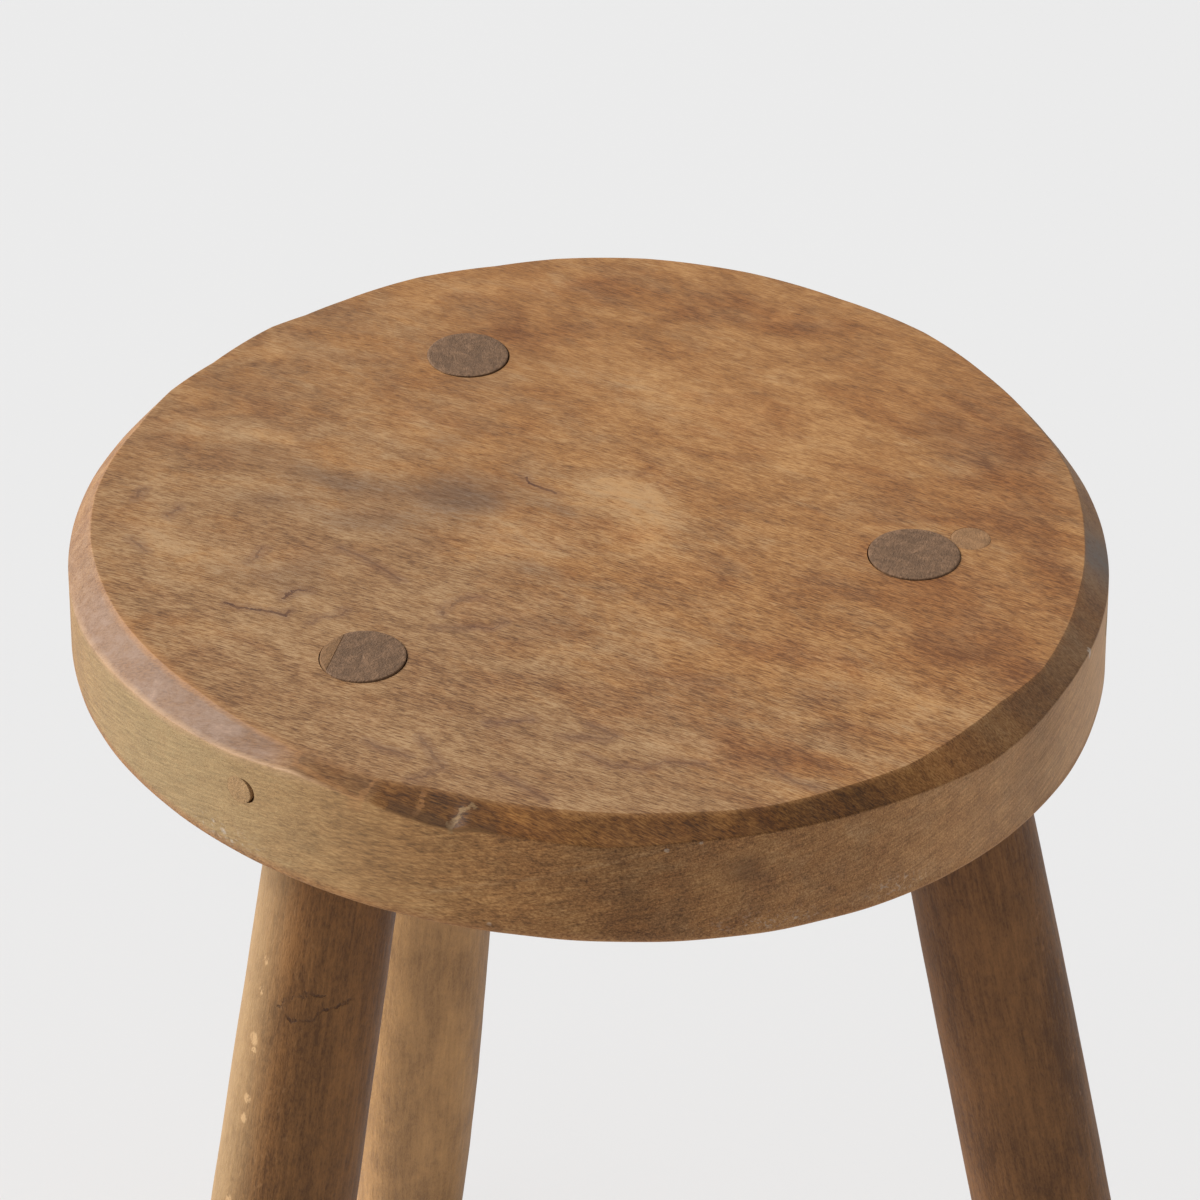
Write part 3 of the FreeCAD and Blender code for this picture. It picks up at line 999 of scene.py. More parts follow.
def peg_ends(leg, seat, legs, depth):
    """Where a peg starts beyond the tenon and where it comes out of the rim, along its own line."""
    origin, _, _, outward = peg_frame(leg, depth)
    away = origin - SEAT_MIDDLE
    out = seat.mean_width / MM / 2
    for _ in range(6):
        spot = away + outward * out
        azimuth = np.array([math.atan2(spot[1], spot[0])])
        out += float(wall_distance(seat, azimuth, TOP - depth)[0]) - math.hypot(spot[0], spot[1])
    middle, _, _, down = leg_frame(leg, legs.splay)
    tenon = middle + down * (depth / math.cos(legs.splay))
    inner = float((tenon - origin) @ outward) - legs.tenon_width / MM / 2 - PEG_TAIL
    return inner, out - WALL_INSET - float(board_swell([away + outward * out])[0])


def plug_frame():
    """The plug's own frame, on the seat's top beside the right tenon."""
    origin = np.array((SEAT_X + PLUG_PLACE[0], SEAT_Y + PLUG_PLACE[1], TOP))
    return origin, *np.eye(3)


def mortise_cutter(leg, settings, splay):
    """A sloping hole whose mouth is worn a little wider towards one side."""
    radius = tenon_radius(leg, settings.mortise_width)
    drift = np.array(MOUTH_DRIFTS[leg])
    # Down along the hole from the top: how much wider it is, and its share of the drift.
    wear = (
        (50.0, 0.0, 0.0),
        (6.0, 0.0, 0.0),
        (2.5, 0.03, 0.3),
        (0.8, 0.08, 0.8),
        (0.0, 0.10, 1.0),
        (-8.0, 0.12, 1.0),
    )
    levels = [(along, radius + wider, drift * share) for along, wider, share in wear]
    return tube(f"mortise_{leg}", levels, leg_frame(leg, splay))


def build_board(settings):
    """The bare board: top, knife-cut bevel, rim wall and underside, all a little uneven."""
    azimuth = around(ROUND_STEPS) - math.pi
    rim = rim_distance(settings, azimuth)
    arris = TOP - round_seat(azimuth, CUTS, 2)
    # The rings stop short of the middle, where one point closes each face.
    centre = np.full_like(rim, 1.2)
    upper = np.full_like(rim, TOP)
    under = np.full_like(rim, UNDERSIDE)
    outline = (
        (centre, upper),
        (round_seat(azimuth, CUTS, 1), upper),
        (wall_distance(settings, azimuth, arris), arris),
        (rim, under),
        (centre, under),
    )
    corners = [np.stack(corner, axis=1) for corner in outline]
    nicks = np.stack([np.cos(azimuth), np.sin(azimuth), 0 * azimuth], axis=1) * RIM_RADIUS
    inner_round = 0.6 + 0.3 * unevenness(nicks, 25.0, 1)
    outer_round = 0.7 + 0.35 * unevenness(nicks, 12.0, 2)
    under_round = 1.5 + 0.7 * unevenness(nicks, 18.0, 3)
    rings = []
    for run in rounded_run(corners, (inner_round, outer_round, under_round), (52, 6, 14, 12)):
        x = run[:, 0] * np.cos(azimuth)
        y = run[:, 0] * np.sin(azimuth)
        rings.append(np.stack([x, y, run[:, 1]], axis=1))
    flat = np.vstack(rings)
    wall = wall_distance(settings, np.tile(azimuth, len(rings)), flat[:, 2])
    reach = np.hypot(flat[:, 0], flat[:, 1]) / wall
    swell = board_swell(flat)
    # The wall takes the unevenness inwards, and the faces take it up and down.
    on_wall = rise(reach, 0.985, 0.999)
    inward = 1.0 - on_wall * (WALL_INSET + swell) / RIM_RADIUS
    flat[:, 0] *= inward
    flat[:, 1] *= inward
    outward = np.where(flat[:, 2] > TOP - 12, 1, -1)
    flat[:, 2] += (1.0 - on_wall) * face_swell(swell) * outward
    rings = np.split(flat + SEAT_MIDDLE, len(rings))
    ends = [SEAT_MIDDLE + UPRIGHT * ring[:, 2].mean() for ring in (rings[0], rings[-1])]
    return skin("seat_board", rings, ends)


def mark_board(piece, settings):
    """Stores on the board where it is stained, cut, rubbed and which way its grain runs."""
    points = places(piece)
    x, y, z = (points - SEAT_MIDDLE).T
    azimuth = np.arctan2(y, x)
    turn = np.degrees(azimuth)
    from_right = np.mod(-turn, 360.0)
    distance = np.hypot(x, y)
    from_wall = distance - wall_distance(settings, azimuth, z)
    from_inner = distance - round_seat(azimuth, CUTS, 1)
    above_outer = z - TOP + round_seat(azimuth, CUTS, 2)
    upper = rise(z, UNDERSIDE + 1.0, UNDERSIDE + 3.0)
    wall = upper * rise(-above_outer, -0.2, 0.5) * rise(from_wall, -2.6, -1.0)
    bevel = upper * rise(from_inner, -0.2, 0.4) * (1.0 - wall)
    on_top = upper * (1.0 - wall) * (1.0 - bevel)
    # The grain runs aslant over the top and bends a little.
    grain = np.stack([0.9 * (x - 0.49 * y), 0.9 * (y + 0.49 * x + 0.00045 * x * x), z], axis=1)
    carry(piece, "grain", grain)
    wall_tone_with_painted_light = round_seat(azimuth, RIM_TONES_WITH_PAINTED_LIGHT, 1)
    bevel_tone = round_seat(azimuth, RIM_TONES_WITH_PAINTED_LIGHT, 2)
    # The tone carries painted light on the shaded right wall.
    carry(piece, "tone", 1.0 + wall * (wall_tone_with_painted_light - 1.0) + bevel * (bevel_tone - 1.0))
    carry(piece, "wall", wall)
    front_wall = 0.4 * wall * hump(turn, -97.0, 20.0)
    front_bevel = bevel * rise(turn, -114.0, -112.0) * rise(-turn, 36.0, 64.0)
    carry(piece, "grime", front_wall + front_bevel)

    spread = 5.0 * unevenness(points, 20.0, 6) + 2.0 * unevenness(points, 7.0, 7)
    sway = 5.0 * unevenness(points, 22.0, 8) + 2.0 * unevenness(points, 8.0, 9)
    cool = rise(-x - 0.5 * y, -30.0, 95.0) + 0.25 * rise(-y, 70.0, 112.0)
    cool += soft_patches(x, y, COOL_PATCHES) - 0.35 * rise(-x, 80.0, 112.0)
    carry(piece, "cool", on_top * cool)
    carry(piece, "bold", 1.0 - on_top * 0.28 * np.clip(y / 80.0, -1.0, 1.0))
    for name, patches in (("grey", GREY_PATCHES), ("dark", DARK_PATCHES), ("pale", PALE_PATCHES)):
        carry(piece, name, on_top * soft_patches(x + spread, y + sway, patches))

    rub = np.clip(0.75 + 0.6 * unevenness(points, 9.0, 10), 0.0, 1.0)
    left = hump(from_right, 142.0, 19.0)
    inner_edge = hump(from_inner, 0.0, 0.6) * upper * (1.0 - wall)
    outer_edge = hump(above_outer, 0.0, 0.55) * rise(from_wall, -1.6, -0.6) * upper
    carry(piece, "orange", (0.1 + 0.75 * left) * inner_edge * rub)
    pale_side = rise(from_right, 114.0, 124.0) * (1.0 - rise(from_right, 154.0, 174.0))
    carry(piece, "peach", pale_side * outer_edge * rub)
    bare_side = rise(from_right, 119.0, 129.0) * (1.0 - rise(from_right, 148.0, 202.0))
    carry(piece, "bleached", bevel * bare_side)
    hidden_side = 0.5 * rise(from_right, 165.0, 205.0) * (1.0 - rise(from_right, 300.0, 345.0))
    carry(piece, "khaki", wall * np.maximum(hump(from_right, 142.0, 32.0), hidden_side))
    under_arris = hump(z, UNDERSIDE + 0.8, 0.9) * rise(from_wall, -3.0, -1.0)
    carry(piece, "lower_edge", under_arris * rub)
    scuffs = np.zeros_like(x)
    for direction, height, long, tall in SCUFFS:
        scuffs += hump(turn, direction, long) * hump(z, UNDERSIDE + height, tall)
    carry(piece, "scuffs", wall * scuffs)
    # A paler, greyer right wall, which lies in shade: the wood's grey and painted light both.
    carry(piece, "ashen", wall * hump(turn, -12.0, 36.0))
    carry(piece, "smudge", wall * hump(turn, -74.7, 1.8) * hump(z, UNDERSIDE + 21.0, 4.0))
    carry(piece, "slate", bevel * (hump(turn, -6.5, 6.0) + 0.12 * hump(turn, -26.0, 15.0)))


def on_rim(rows):
    """Places on the rim wall, with their directions turned into lengths along it from the front."""
    return tuple((math.radians(row[0] + 90.0) * RIM_RADIUS, *row[1:]) for row in rows)


def seat_finish(settings):
    """Old dry board: curved fibrous grain, stains, cracks, and edges rubbed bare."""
    finish = Finish("seat_wood")
    grain = finish.attribute("grain", "Vector")
    streak = finish.lumps(grain, (4.2, 0.44, 0.6), 3.0, 0.65) - 0.5
    hair = finish.lumps(grain, (2.0, 0.24, 0.36), 2.0, 0.6) - 0.5
    cloud = finish.lumps(grain, (26.0, 15.0, 16.0), 4.0, 0.6, 0.8) - 0.5
    mottle = finish.lumps(grain, (6.0, 3.0, 3.4), 4.0, 0.7, 0.5) - 0.5
    veil = finish.lumps(grain, (18.0, 9.0, 9.0), 4.0, 0.65, 0.6) - 0.5
    ragged = streak * 1.2 + hair * 0.6 + mottle * 1.0
    wall = finish.attribute("wall")
    dark = finish.attribute("dark")
    pale = finish.attribute("pale")
    bold = finish.attribute("bold")
    fibrous = (streak * 1.35 + hair * 1.35) * bold + mottle * 0.7
    tone = 0.5 + fibrous + cloud * 1.0 + pale * 0.36 - dark * 0.34
    woods = (settings.dark_wood, settings.middle_wood, settings.light_wood)
    cool_woods = [(wood[0] * 0.90, wood[1] * 1.03, wood[2] * 1.30) for wood in woods]
    stops = (0.05, 0.5, 0.95)
    warm = finish.ramp(tone, tuple(zip(stops, woods)))
    cool = finish.ramp(tone, tuple(zip(stops, cool_woods)))
    cooler = veil * 2.2 + finish.attribute("cool") * 0.8 + ragged * 0.3
    colour = finish.blend(finish.step(cooler, -0.2, 0.8), warm, cool)
    redder = finish.step(dark * 0.8 - cloud * 1.6 + mottle * 0.6, -0.1, 0.7)
    colour = finish.blend(redder, colour, (1.0, 0.90, 0.85), "MULTIPLY")
    stained = finish.step(finish.attribute("grey") + ragged * 0.5, 0.1, 1.0)
    colour = finish.blend(stained, colour, settings.grey_stain, "MULTIPLY")
    flecks = finish.step(hair + streak * 0.6, 0.13, 0.28) * (0.3 + dark * 0.4)
    flecks = flecks * (1.0 - wall * 0.7) * bold
    colour = finish.blend(flecks.held(), colour, shaded(settings.dark_wood, 0.55))

    place = finish.node("ShaderNodeTexCoord", {}, {}, "Object")
    x, y, z = finish.parts(place)
    sway = finish.lumps(place, (0.005, 0.005, 0.005), 4.0, 0.7) - 0.5
    to_mm = 1.0 / MM
    plan_x = x * to_mm - SEAT_X + sway * 5.0
    plan_y = y * to_mm - SEAT_Y - sway * 5.0
    turn = finish.node("ShaderNodeMath", {"operation": "ARCTAN2"}, {0: plan_x, 1: 0.0 - plan_y})
    along = turn * RIM_RADIUS
    height = z * to_mm - UNDERSIDE
    # The wall's fibres rise a little to the right, and fade out towards the seam at the back.
    level_share = 0.966
    rising_share = 0.259
    fibre_along = along * level_share + height * rising_share
    fibre_across = height * level_share - along * rising_share
    slanted = {0: fibre_along, 1: fibre_across}
    rim_place = finish.node("ShaderNodeCombineXYZ", {}, slanted)
    fibres = finish.lumps(rim_place, (9.0, 0.7, 1.0), 3.0, 0.65) - 0.5
    fibres = fibres * wall * (1.0 - finish.step(turn * turn, 7.5, 9.4))

    khaki = finish.attribute("khaki") * (0.85 + ragged * 0.5)
    colour = finish.blend(khaki.held(), colour, (0.35, 0.245, 0.122))
    # The ashen colour paints light onto the shaded right wall, besides greying its wood.
    ashen = finish.attribute("ashen") * (0.85 + ragged * 0.5)
    colour = finish.blend(ashen.held(), colour, (0.40, 0.246, 0.138))
    blotches = mottle * 1.5 + veil * 0.9 + streak * 0.4
    bleached = finish.attribute("bleached") * (0.85 + blotches)
    colour = finish.blend(bleached.held(), colour, (0.26, 0.168, 0.118))
    grime = finish.attribute("grime") * (0.8 + veil * 1.6)
    colour = finish.blend(grime.held(), colour, (1.0, 0.80, 0.46), "MULTIPLY")
    rough_tone = ragged * (0.1 + grime * 0.45) + blotches * bleached * 0.8
    # The tone brightens the shaded right wall with painted light.
    shade = finish.attribute("tone") + rough_tone + fibres * (1.1 + ashen * 0.7)
    colour = finish.blend(1.0, colour, shade, "MULTIPLY")
    # Worn places: what shows of each where the fibres are even, its strength and its colour.
    worn_places = (
        ("slate", 0.7, 1.0, (0.24, 0.215, 0.195)),
        ("smudge", 0.6, 0.7, (0.08, 0.045, 0.025)),
        ("orange", 0.75, 1.0, settings.rubbed_edge),
        ("peach", 0.9, 1.0, (0.50, 0.31, 0.175)),
        ("lower_edge", 0.5, 0.8, settings.rubbed_edge),
    )
    for name, even, strength, tint in worn_places:
        worn = finish.attribute(name) * (even + ragged)
        colour = finish.blend(worn.held() * strength, colour, tint)
    specks = finish.step(finish.lumps(grain, (2.2, 1.1, 1.1), 2.0, 0.6), 0.52, 0.7)
    scuffs = finish.attribute("scuffs") * specks
    colour = finish.blend(scuffs.held() * 0.6, colour, (0.60, 0.52, 0.43))

    above = finish.step(z, (TOP - 1.5) * MM, (TOP - 0.8) * MM)
    open_gap = finish.line_gap(plan_x, plan_y, OPEN_CRACKS)
    faint_gap = finish.line_gap(plan_x, plan_y, FAINT_CRACKS)
    halo = finish.near(open_gap.least(faint_gap), 2.6) * (0.5 + ragged) * above
    faint = finish.near(faint_gap, 0.6) * finish.step(mottle + streak, -0.3, 0.15) * above * 0.5
    cracks = (finish.near(open_gap, 0.58) * (0.75 + ragged * 1.7) * above).held().most(faint)
    colour = finish.blend(halo.held() * 0.5, colour, (0.16, 0.08, 0.055))
    colour = finish.blend(cracks * 0.85, colour, (0.06, 0.022, 0.017))

    upper = finish.step(z, (TOP - 6.0) * MM, (TOP - 5.5) * MM)
    chip = finish.dabs((plan_x - CHIP[0]) * 1.6, (plan_y - CHIP[1]) * 0.8, ((0.0, 0.0, CHIP[2]),))
    colour = finish.blend(chip * upper * 0.85, colour, (0.62, 0.51, 0.41))
    plan = (plan_x, plan_y)
    rim = (along, height)
    arris_shadow = [on_rim(line) for line in ARRIS_SHADOW]
    pale_scratch = [on_rim(line) for line in PALE_SCRATCH]
    # Drawn lines: what they are measured on, their corners and half width, what shows of them
    # where the fibres are even, the part of the board they keep to, their strength and colour.
    drawn_lines = (
        (plan, ORANGE_LINES, 1.0, 0.55, upper, 0.5, settings.rubbed_edge),
        (plan, SPLINTER, 0.85, 0.6, upper, 1.0, (0.30, 0.19, 0.09)),
        (rim, arris_shadow, 1.0, 0.6, 1.0, 0.8, (0.075, 0.036, 0.015)),
        (rim, pale_scratch, 0.7, 0.2, wall, 0.5, (0.50, 0.34, 0.19)),
    )
    for (across, up), lines, half_width, even, where, strength, tint in drawn_lines:
        gap = finish.line_gap(across, up, lines)
        drawn = finish.near(gap, half_width) * (even + ragged) * where
        colour = finish.blend(drawn.held() * strength, colour, tint)
    spots = finish.dabs(along, height, on_rim(PALE_SPOTS)) * (0.7 + ragged) * wall
    colour = finish.blend(spots.held() * 0.6, colour, (0.52, 0.42, 0.33))

    roughness = 0.60 + mottle * 0.3 + hair * 0.2 + wall * 0.08
    rough_height = streak * 0.5 + hair * 0.5 + mottle * 0.4
    return finish.close(colour, roughness, rough_height, 0.0002)


def leg_ring(own_frame, angle, radius, level):
    """A ring round a leg's axis whose points all lie at one height."""
    origin, outward, sideways, down = own_frame
    flat = ring_round(0.0, outward, sideways, angle, radius)
    along = (level - origin[2] - flat[:, 2]) / down[2]
    return origin + flat + np.outer(along, down)


def build_leg(leg, settings):
    """A splayed stick that swells below its middle, with a shoulder and a through tenon."""
    own_frame = leg_frame(leg, settings.splay)
    _, outward, sideways, _ = own_frame
    angle = around(LEG_STEPS)
    away = ring_round(0.0, outward, sideways, angle, 1.0)
    neck = settings.neck_width / MM / 2
    swell = settings.swell_width / MM / 2
    foot = settings.foot_width / MM / 2
    tenon = tenon_radius(leg, settings.tenon_width)
    proud = settings.tenon_proud / MM
    swell_level = settings.swell_height / MM
    seed = 20 + len(leg)
    sole = foot - 1.5
    # Radius and height of each ring at the rounded foot.
    rounded_foot = (
        (0.35 * sole, 0.0),
        (0.7 * sole, 0.0),
        (sole, 0.0),
        (foot - 0.7, 0.35),
        (foot - 0.15, 1.2),
    )
    rings = [leg_ring(own_frame, angle, radius, level) for radius, level in rounded_foot]
    for level in np.linspace(2.4, UNDERSIDE - 1.2, 190):
        if level < swell_level:
            end = foot
            share = (swell_level - level) / swell_level
        else:
            end = neck
            share = (level - swell_level) / (UNDERSIDE - swell_level)
        ring = leg_ring(own_frame, angle, swell - (swell - end) * share * share, level)
        spots = ring * np.array((1.0, 1.0, 0.22))
        bumps = 0.22 * unevenness(spots, 16.0, seed) + 0.10 * unevenness(spots, 5.0, seed + 1)
        rings.append(ring + away * (bumps - 0.08)[:, None])
    # Radius of each ring at the shoulder, and its height above the seat's underside.
    shoulder = (
        (neck - 0.35, -0.35),
        (neck - 1.2, -0.1),
        (tenon + 0.6, -0.1),
        (tenon, 0.6),
    )
    for radius, above in shoulder:
        rings.append(leg_ring(own_frame, angle, radius, UNDERSIDE + above))
    for level in np.linspace(UNDERSIDE + 4.0, TOP - 1.0, 12):
        rings.append(leg_ring(own_frame, angle, tenon, level))
    # The tenon's worn end: share of its radius, and of how far it stands proud.
    ends = (
        (1.0, 0.2),
        (0.992, 0.7),
        (0.975, 0.95),
        (0.93, 1.0),
        (0.75, 1.05),
        (0.55, 1.1),
        (0.3, 1.0),
        (0.1, 1.0),
    )
    for share, lift in ends:
        ring = leg_ring(own_frame, angle, tenon * share, TOP + proud * lift)
        ring[:, 2] += (0.09 * unevenness(ring, 4.0, seed + 2) + 0.05) * min(1.0, 8 * (1 - share))
        rings.append(ring)
    return skin(f"{leg}_leg_stick", rings)


def mark_leg(piece, own_frame, tint, boldness):
    """Stores which way the leg's grain runs, its own looks and where its end grain shows."""
    carry_grain(piece, own_frame)
    points = places(piece)
    origin, _, _, down = own_frame
    away = points - origin
    carry(piece, "end_grain", rise(points[:, 2], TOP - 0.3, TOP + 0.1))
    # Only the side towards the front has the leg's own tint, and the far sides are alike.
    front = rise(-away[:, 1] + down[1] * (away @ down), -8.0, 12.0)[:, None]
    # On the back left leg that tint is painted light on a front side in shade.
    carry(piece, "tint", front * np.array(tint) + (1.0 - front) * np.array(FAR_TINT))
    carry(piece, "bold", 1.0 + front[:, 0] * (boldness - 1.0))
    near_foot = rise(-points[:, 2], -26.0, -2.0)
    carry(piece, "foot_wear", near_foot * (0.7 + 0.5 * unevenness(points, 12.0, 31)))


def leg_finish(settings, name, cracked):
    """Dull brown stick: streaks along the leg, rubbed blotches, knocks and greyed end grain."""
    finish = Finish(name)
    grain = finish.attribute("grain", "Vector")
    along, outward, sideways = finish.parts(grain)
    streak = finish.lumps(grain, (16.0, 1.1, 1.1), 4.0, 0.6)
    fine = finish.lumps(grain, (1.5, 0.45, 0.45), 2.0, 0.6)
    cloud = finish.lumps(grain, (34.0, 13.0, 13.0), 4.0, 0.6, 0.3)
    mottle = finish.lumps(grain, (4.5, 2.6, 2.6), 4.0, 0.7, 0.4)
    bold = finish.attribute("bold")
    mixed = streak * 1.3 + mottle * 1.0 + fine * 1.3 - 0.5 * (1.3 + 1.0 + 1.3)
    tone = 0.5 + mixed * bold + (cloud - 0.5) * 1.3
    woods = zip(settings.light_wood, settings.dark_wood)
    middle = tuple(0.5 * (light + dark) for light, dark in woods)
    stops = ((0.15, settings.dark_wood), (0.5, middle), (0.9, settings.light_wood))
    colour = finish.ramp(tone, stops)
    flecks = finish.step(fine, 0.56, 0.74) * bold * 0.4
    colour = finish.blend(flecks, colour, shaded(settings.dark_wood, 0.5))
    rubs = finish.step(finish.lumps(grain, (3.2, 1.8, 1.8), 2.0, 0.5), 0.62, 0.74)
    outer_side = finish.step(outward, 10.0, 19.0)
    colour = finish.blend((rubs * outer_side).held() * 0.4, colour, (0.50, 0.29, 0.13))
    wear = finish.attribute("foot_wear") * (0.2 + mottle)
    colour = finish.blend(wear.held() * 0.6, colour, (0.16, 0.10, 0.06))
    height = streak * 0.5 + fine * 0.5 + mottle * 0.6
    if cracked:
        on_front = finish.step(outward, 2.0, 6.0)
        sway = (finish.lumps(grain, (5.0, 5.0, 5.0), 4.0, 0.7) - 0.5) * 5.0
        cracks = finish.near(finish.line_gap(along + sway, sideways - sway, LEG_CRACKS), 0.55)
        cracks = cracks * on_front * finish.step(mottle + streak * 0.6, 0.64, 0.90)
        colour = finish.blend(cracks * 0.8, colour, (0.06, 0.028, 0.018))
        knocks = finish.dabs(along + sway * 0.6, sideways + sway * 0.6, LEG_KNOCKS) * on_front
        knocks = knocks * finish.step(fine + mottle, 0.80, 1.06)
        height = height - cracks * 0.8

    end = finish.attribute("end_grain")
    pores = finish.lumps(grain, (4.0, 0.9, 0.9), 3.0, 0.7)
    growth = finish.lumps(grain, (40.0, 6.0, 2.0), 3.0, 0.6)
    end_colour = finish.blend(
        finish.step(pores * 0.35 + growth * 0.25 + mottle * 0.4, 0.40, 0.66),
        shaded(settings.end_wood, 0.62),
        shaded(settings.end_wood, 1.22),
    )
    colour = finish.blend(1.0, colour, finish.attribute("tint", "Vector"), "MULTIPLY")
    if cracked:
        # Painted sheen: the left side of the front left leg, which faces the light, is made paler.
        painted_sheen_flank = finish.step(outward * 0.64 + sideways * 0.77, 5.5, 18.5) * (0.4 + mottle)
        colour = finish.blend(painted_sheen_flank.held() * 0.9, colour, (0.415, 0.262, 0.125))
        colour = finish.blend(knocks * 0.8, colour, (0.60, 0.375, 0.185))
    colour = finish.blend(end, colour, end_colour)
    roughness = 0.58 + (mottle - 0.5) * 0.25 + end * 0.1
    return finish.close(colour, roughness, height + end * pores * 0.8, 0.0003)


def slip_section(tenon, thickness, inset):
    """The slip's outline across the tenon: a flat on one side, the tenon's round on the other."""
    flat = tenon - thickness + inset
    half = math.acos(flat / tenon)
    curve = np.linspace(-half, half, 25)
    outline = np.stack([np.cos(curve), np.sin(curve)], axis=1) * (tenon - 0.05)
    return np.maximum(outline, np.array((flat, -tenon)))


def slip_frame(legs):
    """The slip's own frame: the front left leg's, turned to face the slip."""
    origin, outward, sideways, down = leg_frame("front_left", legs.splay)
    turn = math.radians(LEGS["front_left"][2] - SLIP_DIRECTION)
    away = outward * math.cos(turn) + sideways * math.sin(turn)
    beside = sideways * math.cos(turn) - outward * math.sin(turn)
    return origin, away, beside, down


def slip_cutter(legs, small):
    """A block that clears the front left tenon's side for the slip."""
    origin, away, beside, down = slip_frame(legs)
    near = tenon_radius("front_left", legs.tenon_width) - small.slip_thickness / MM
    far = 30.0
    corners = ((near, -far), (far, -far), (far, far), (near, far))
    rings = []
    for along in (small.slip_depth / MM, -12.0):
        middle = origin + down * along
        rings.append(np.array([middle + away * a + beside * b for a, b in corners]))
    return skin("slip_seat", rings)


def build_slip(legs, small):
    """The slip of wood that makes good the side of the front left tenon."""
    origin, away, beside, down = slip_frame(legs)
    tenon = tenon_radius("front_left", legs.tenon_width)
    proud = legs.tenon_proud / MM
    depth = small.slip_depth / MM
    # Down along the leg from the seat's top, and how far the slip stands back there.
    levels = (
        (depth - 0.1, 0.55),
        (depth - 0.6, 0.3),
        (4.0, 0.26),
        (0.6, 0.26),
        (-0.6 * proud, 0.32),
        (-0.85 * proud, 0.5),
        (-proud, 0.9),
    )
    rings = []
    for along, inset in levels:
        outline = slip_section(tenon - 0.6 * inset, small.slip_thickness / MM, inset)
        flat = np.outer(outline[:, 0], away) + np.outer(outline[:, 1], beside)
        # Near the top the slip is pared level with the seat, and lower down it follows the leg.
        lean = -flat[:, 2] / down[2] if along < 2.0 else np.zeros(len(flat))
        rings.append(origin + flat + np.outer(along + lean, down))
    return skin("tenon_slip_wood", rings)


def build_peg(leg, seat, legs, small):
    """A whittled peg, driven in from the rim through the tenon and pared off with the rim."""
    depth = small.peg_depth / MM
    origin, sideways, upright, outward = peg_frame(leg, depth)
    inner, rim = peg_ends(leg, seat, legs, depth)
    radius = small.peg_width / MM / 2
    angle = around(PEG_STEPS)
    # Seven knife cuts along the peg leave it a little many-sided.
    half_cut = math.pi / 7
    cut_angle = (angle + 0.4) % (2 * half_cut) - half_cut
    whittled = np.minimum(1.0, math.cos(half_cut) * 1.10 / np.cos(cut_angle))
    # Out along the peg, and share of its radius.
    levels = (
        (rim + 0.04, 0.3),
        (rim + 0.04, 0.7),
        (rim + 0.02, 0.93),
        (rim - 0.03, 0.985),
        (rim - 0.30, 1.0),
        (rim - 6.0, 1.0),
        (rim - 14.0, 1.0),
        (inner + 10.0, 0.985),
        (inner + 0.8, 0.95),
        (inner, 0.76),
    )
    rings = []
    for along, share in levels:
        middle = origin + outward * along
        ring = ring_round(middle, sideways, upright, angle, whittled * radius * share)
        # The end follows the uneven wall.
        if along > rim - 1.0:
            ring -= np.outer(beyond_wall(ring, seat) - along + rim, outward)
        rings.append(ring)
    return skin(f"{leg}_peg_wood", rings)


def build_plug(small):
    """The small round plug let into the top, pared off level."""
    origin, first, second, upright = plug_frame()
    radius = small.plug_width / MM / 2 * 0.995
    depth = small.plug_depth / MM
    angle = around(PLUG_STEPS)
    wobble = 1.0 + 0.003 * np.sin(3 * angle + 0.6) + 0.002 * np.sin(5 * angle)
    top = origin + upright * face_swell(float(board_swell([origin - SEAT_MIDDLE])[0]))
    # Height over the top, and share of the plug's radius.
    levels = (
        (0.01, 0.3),
        (0.01, 0.8),
        (0.0, 0.97),
        (-0.05, 0.995),
        (-0.5, 1.0),
        (-4.0, 1.0),
        (1.0 - depth, 0.99),
        (0.15 - depth, 0.86),
    )
    rings = []
    for along, share in levels:
        middle = top + upright * along
        rings.append(ring_round(middle, first, second, angle, wobble * radius * share))
    return skin("patch_plug_wood", rings)


def small_finish(name, wood, band_width):
    """Dull worn end grain with a few rings and pores, for the pegs, the plug and the slip."""
    finish = Finish(name)
    grain = finish.attribute("grain", "Vector")
    pores = finish.lumps(grain, (3.0, 0.7, 0.7), 3.0, 0.7)
    bands = finish.lumps(grain, (30.0, 4.0, band_width), 3.0, 0.6, 0.4)
    cloud = finish.lumps(grain, (5.0, 3.5, 3.5), 2.0, 0.6)
    shade = finish.step(pores * 0.4 + bands * 0.4 + cloud * 0.2, 0.32, 0.68)
    colour = finish.blend(shade, shaded(wood, 0.68), shaded(wood, 1.15))
    roughness = 0.66 + (pores - 0.5) * 0.25
    return finish.close(colour, roughness, pores + bands * 0.5, 0.0003)


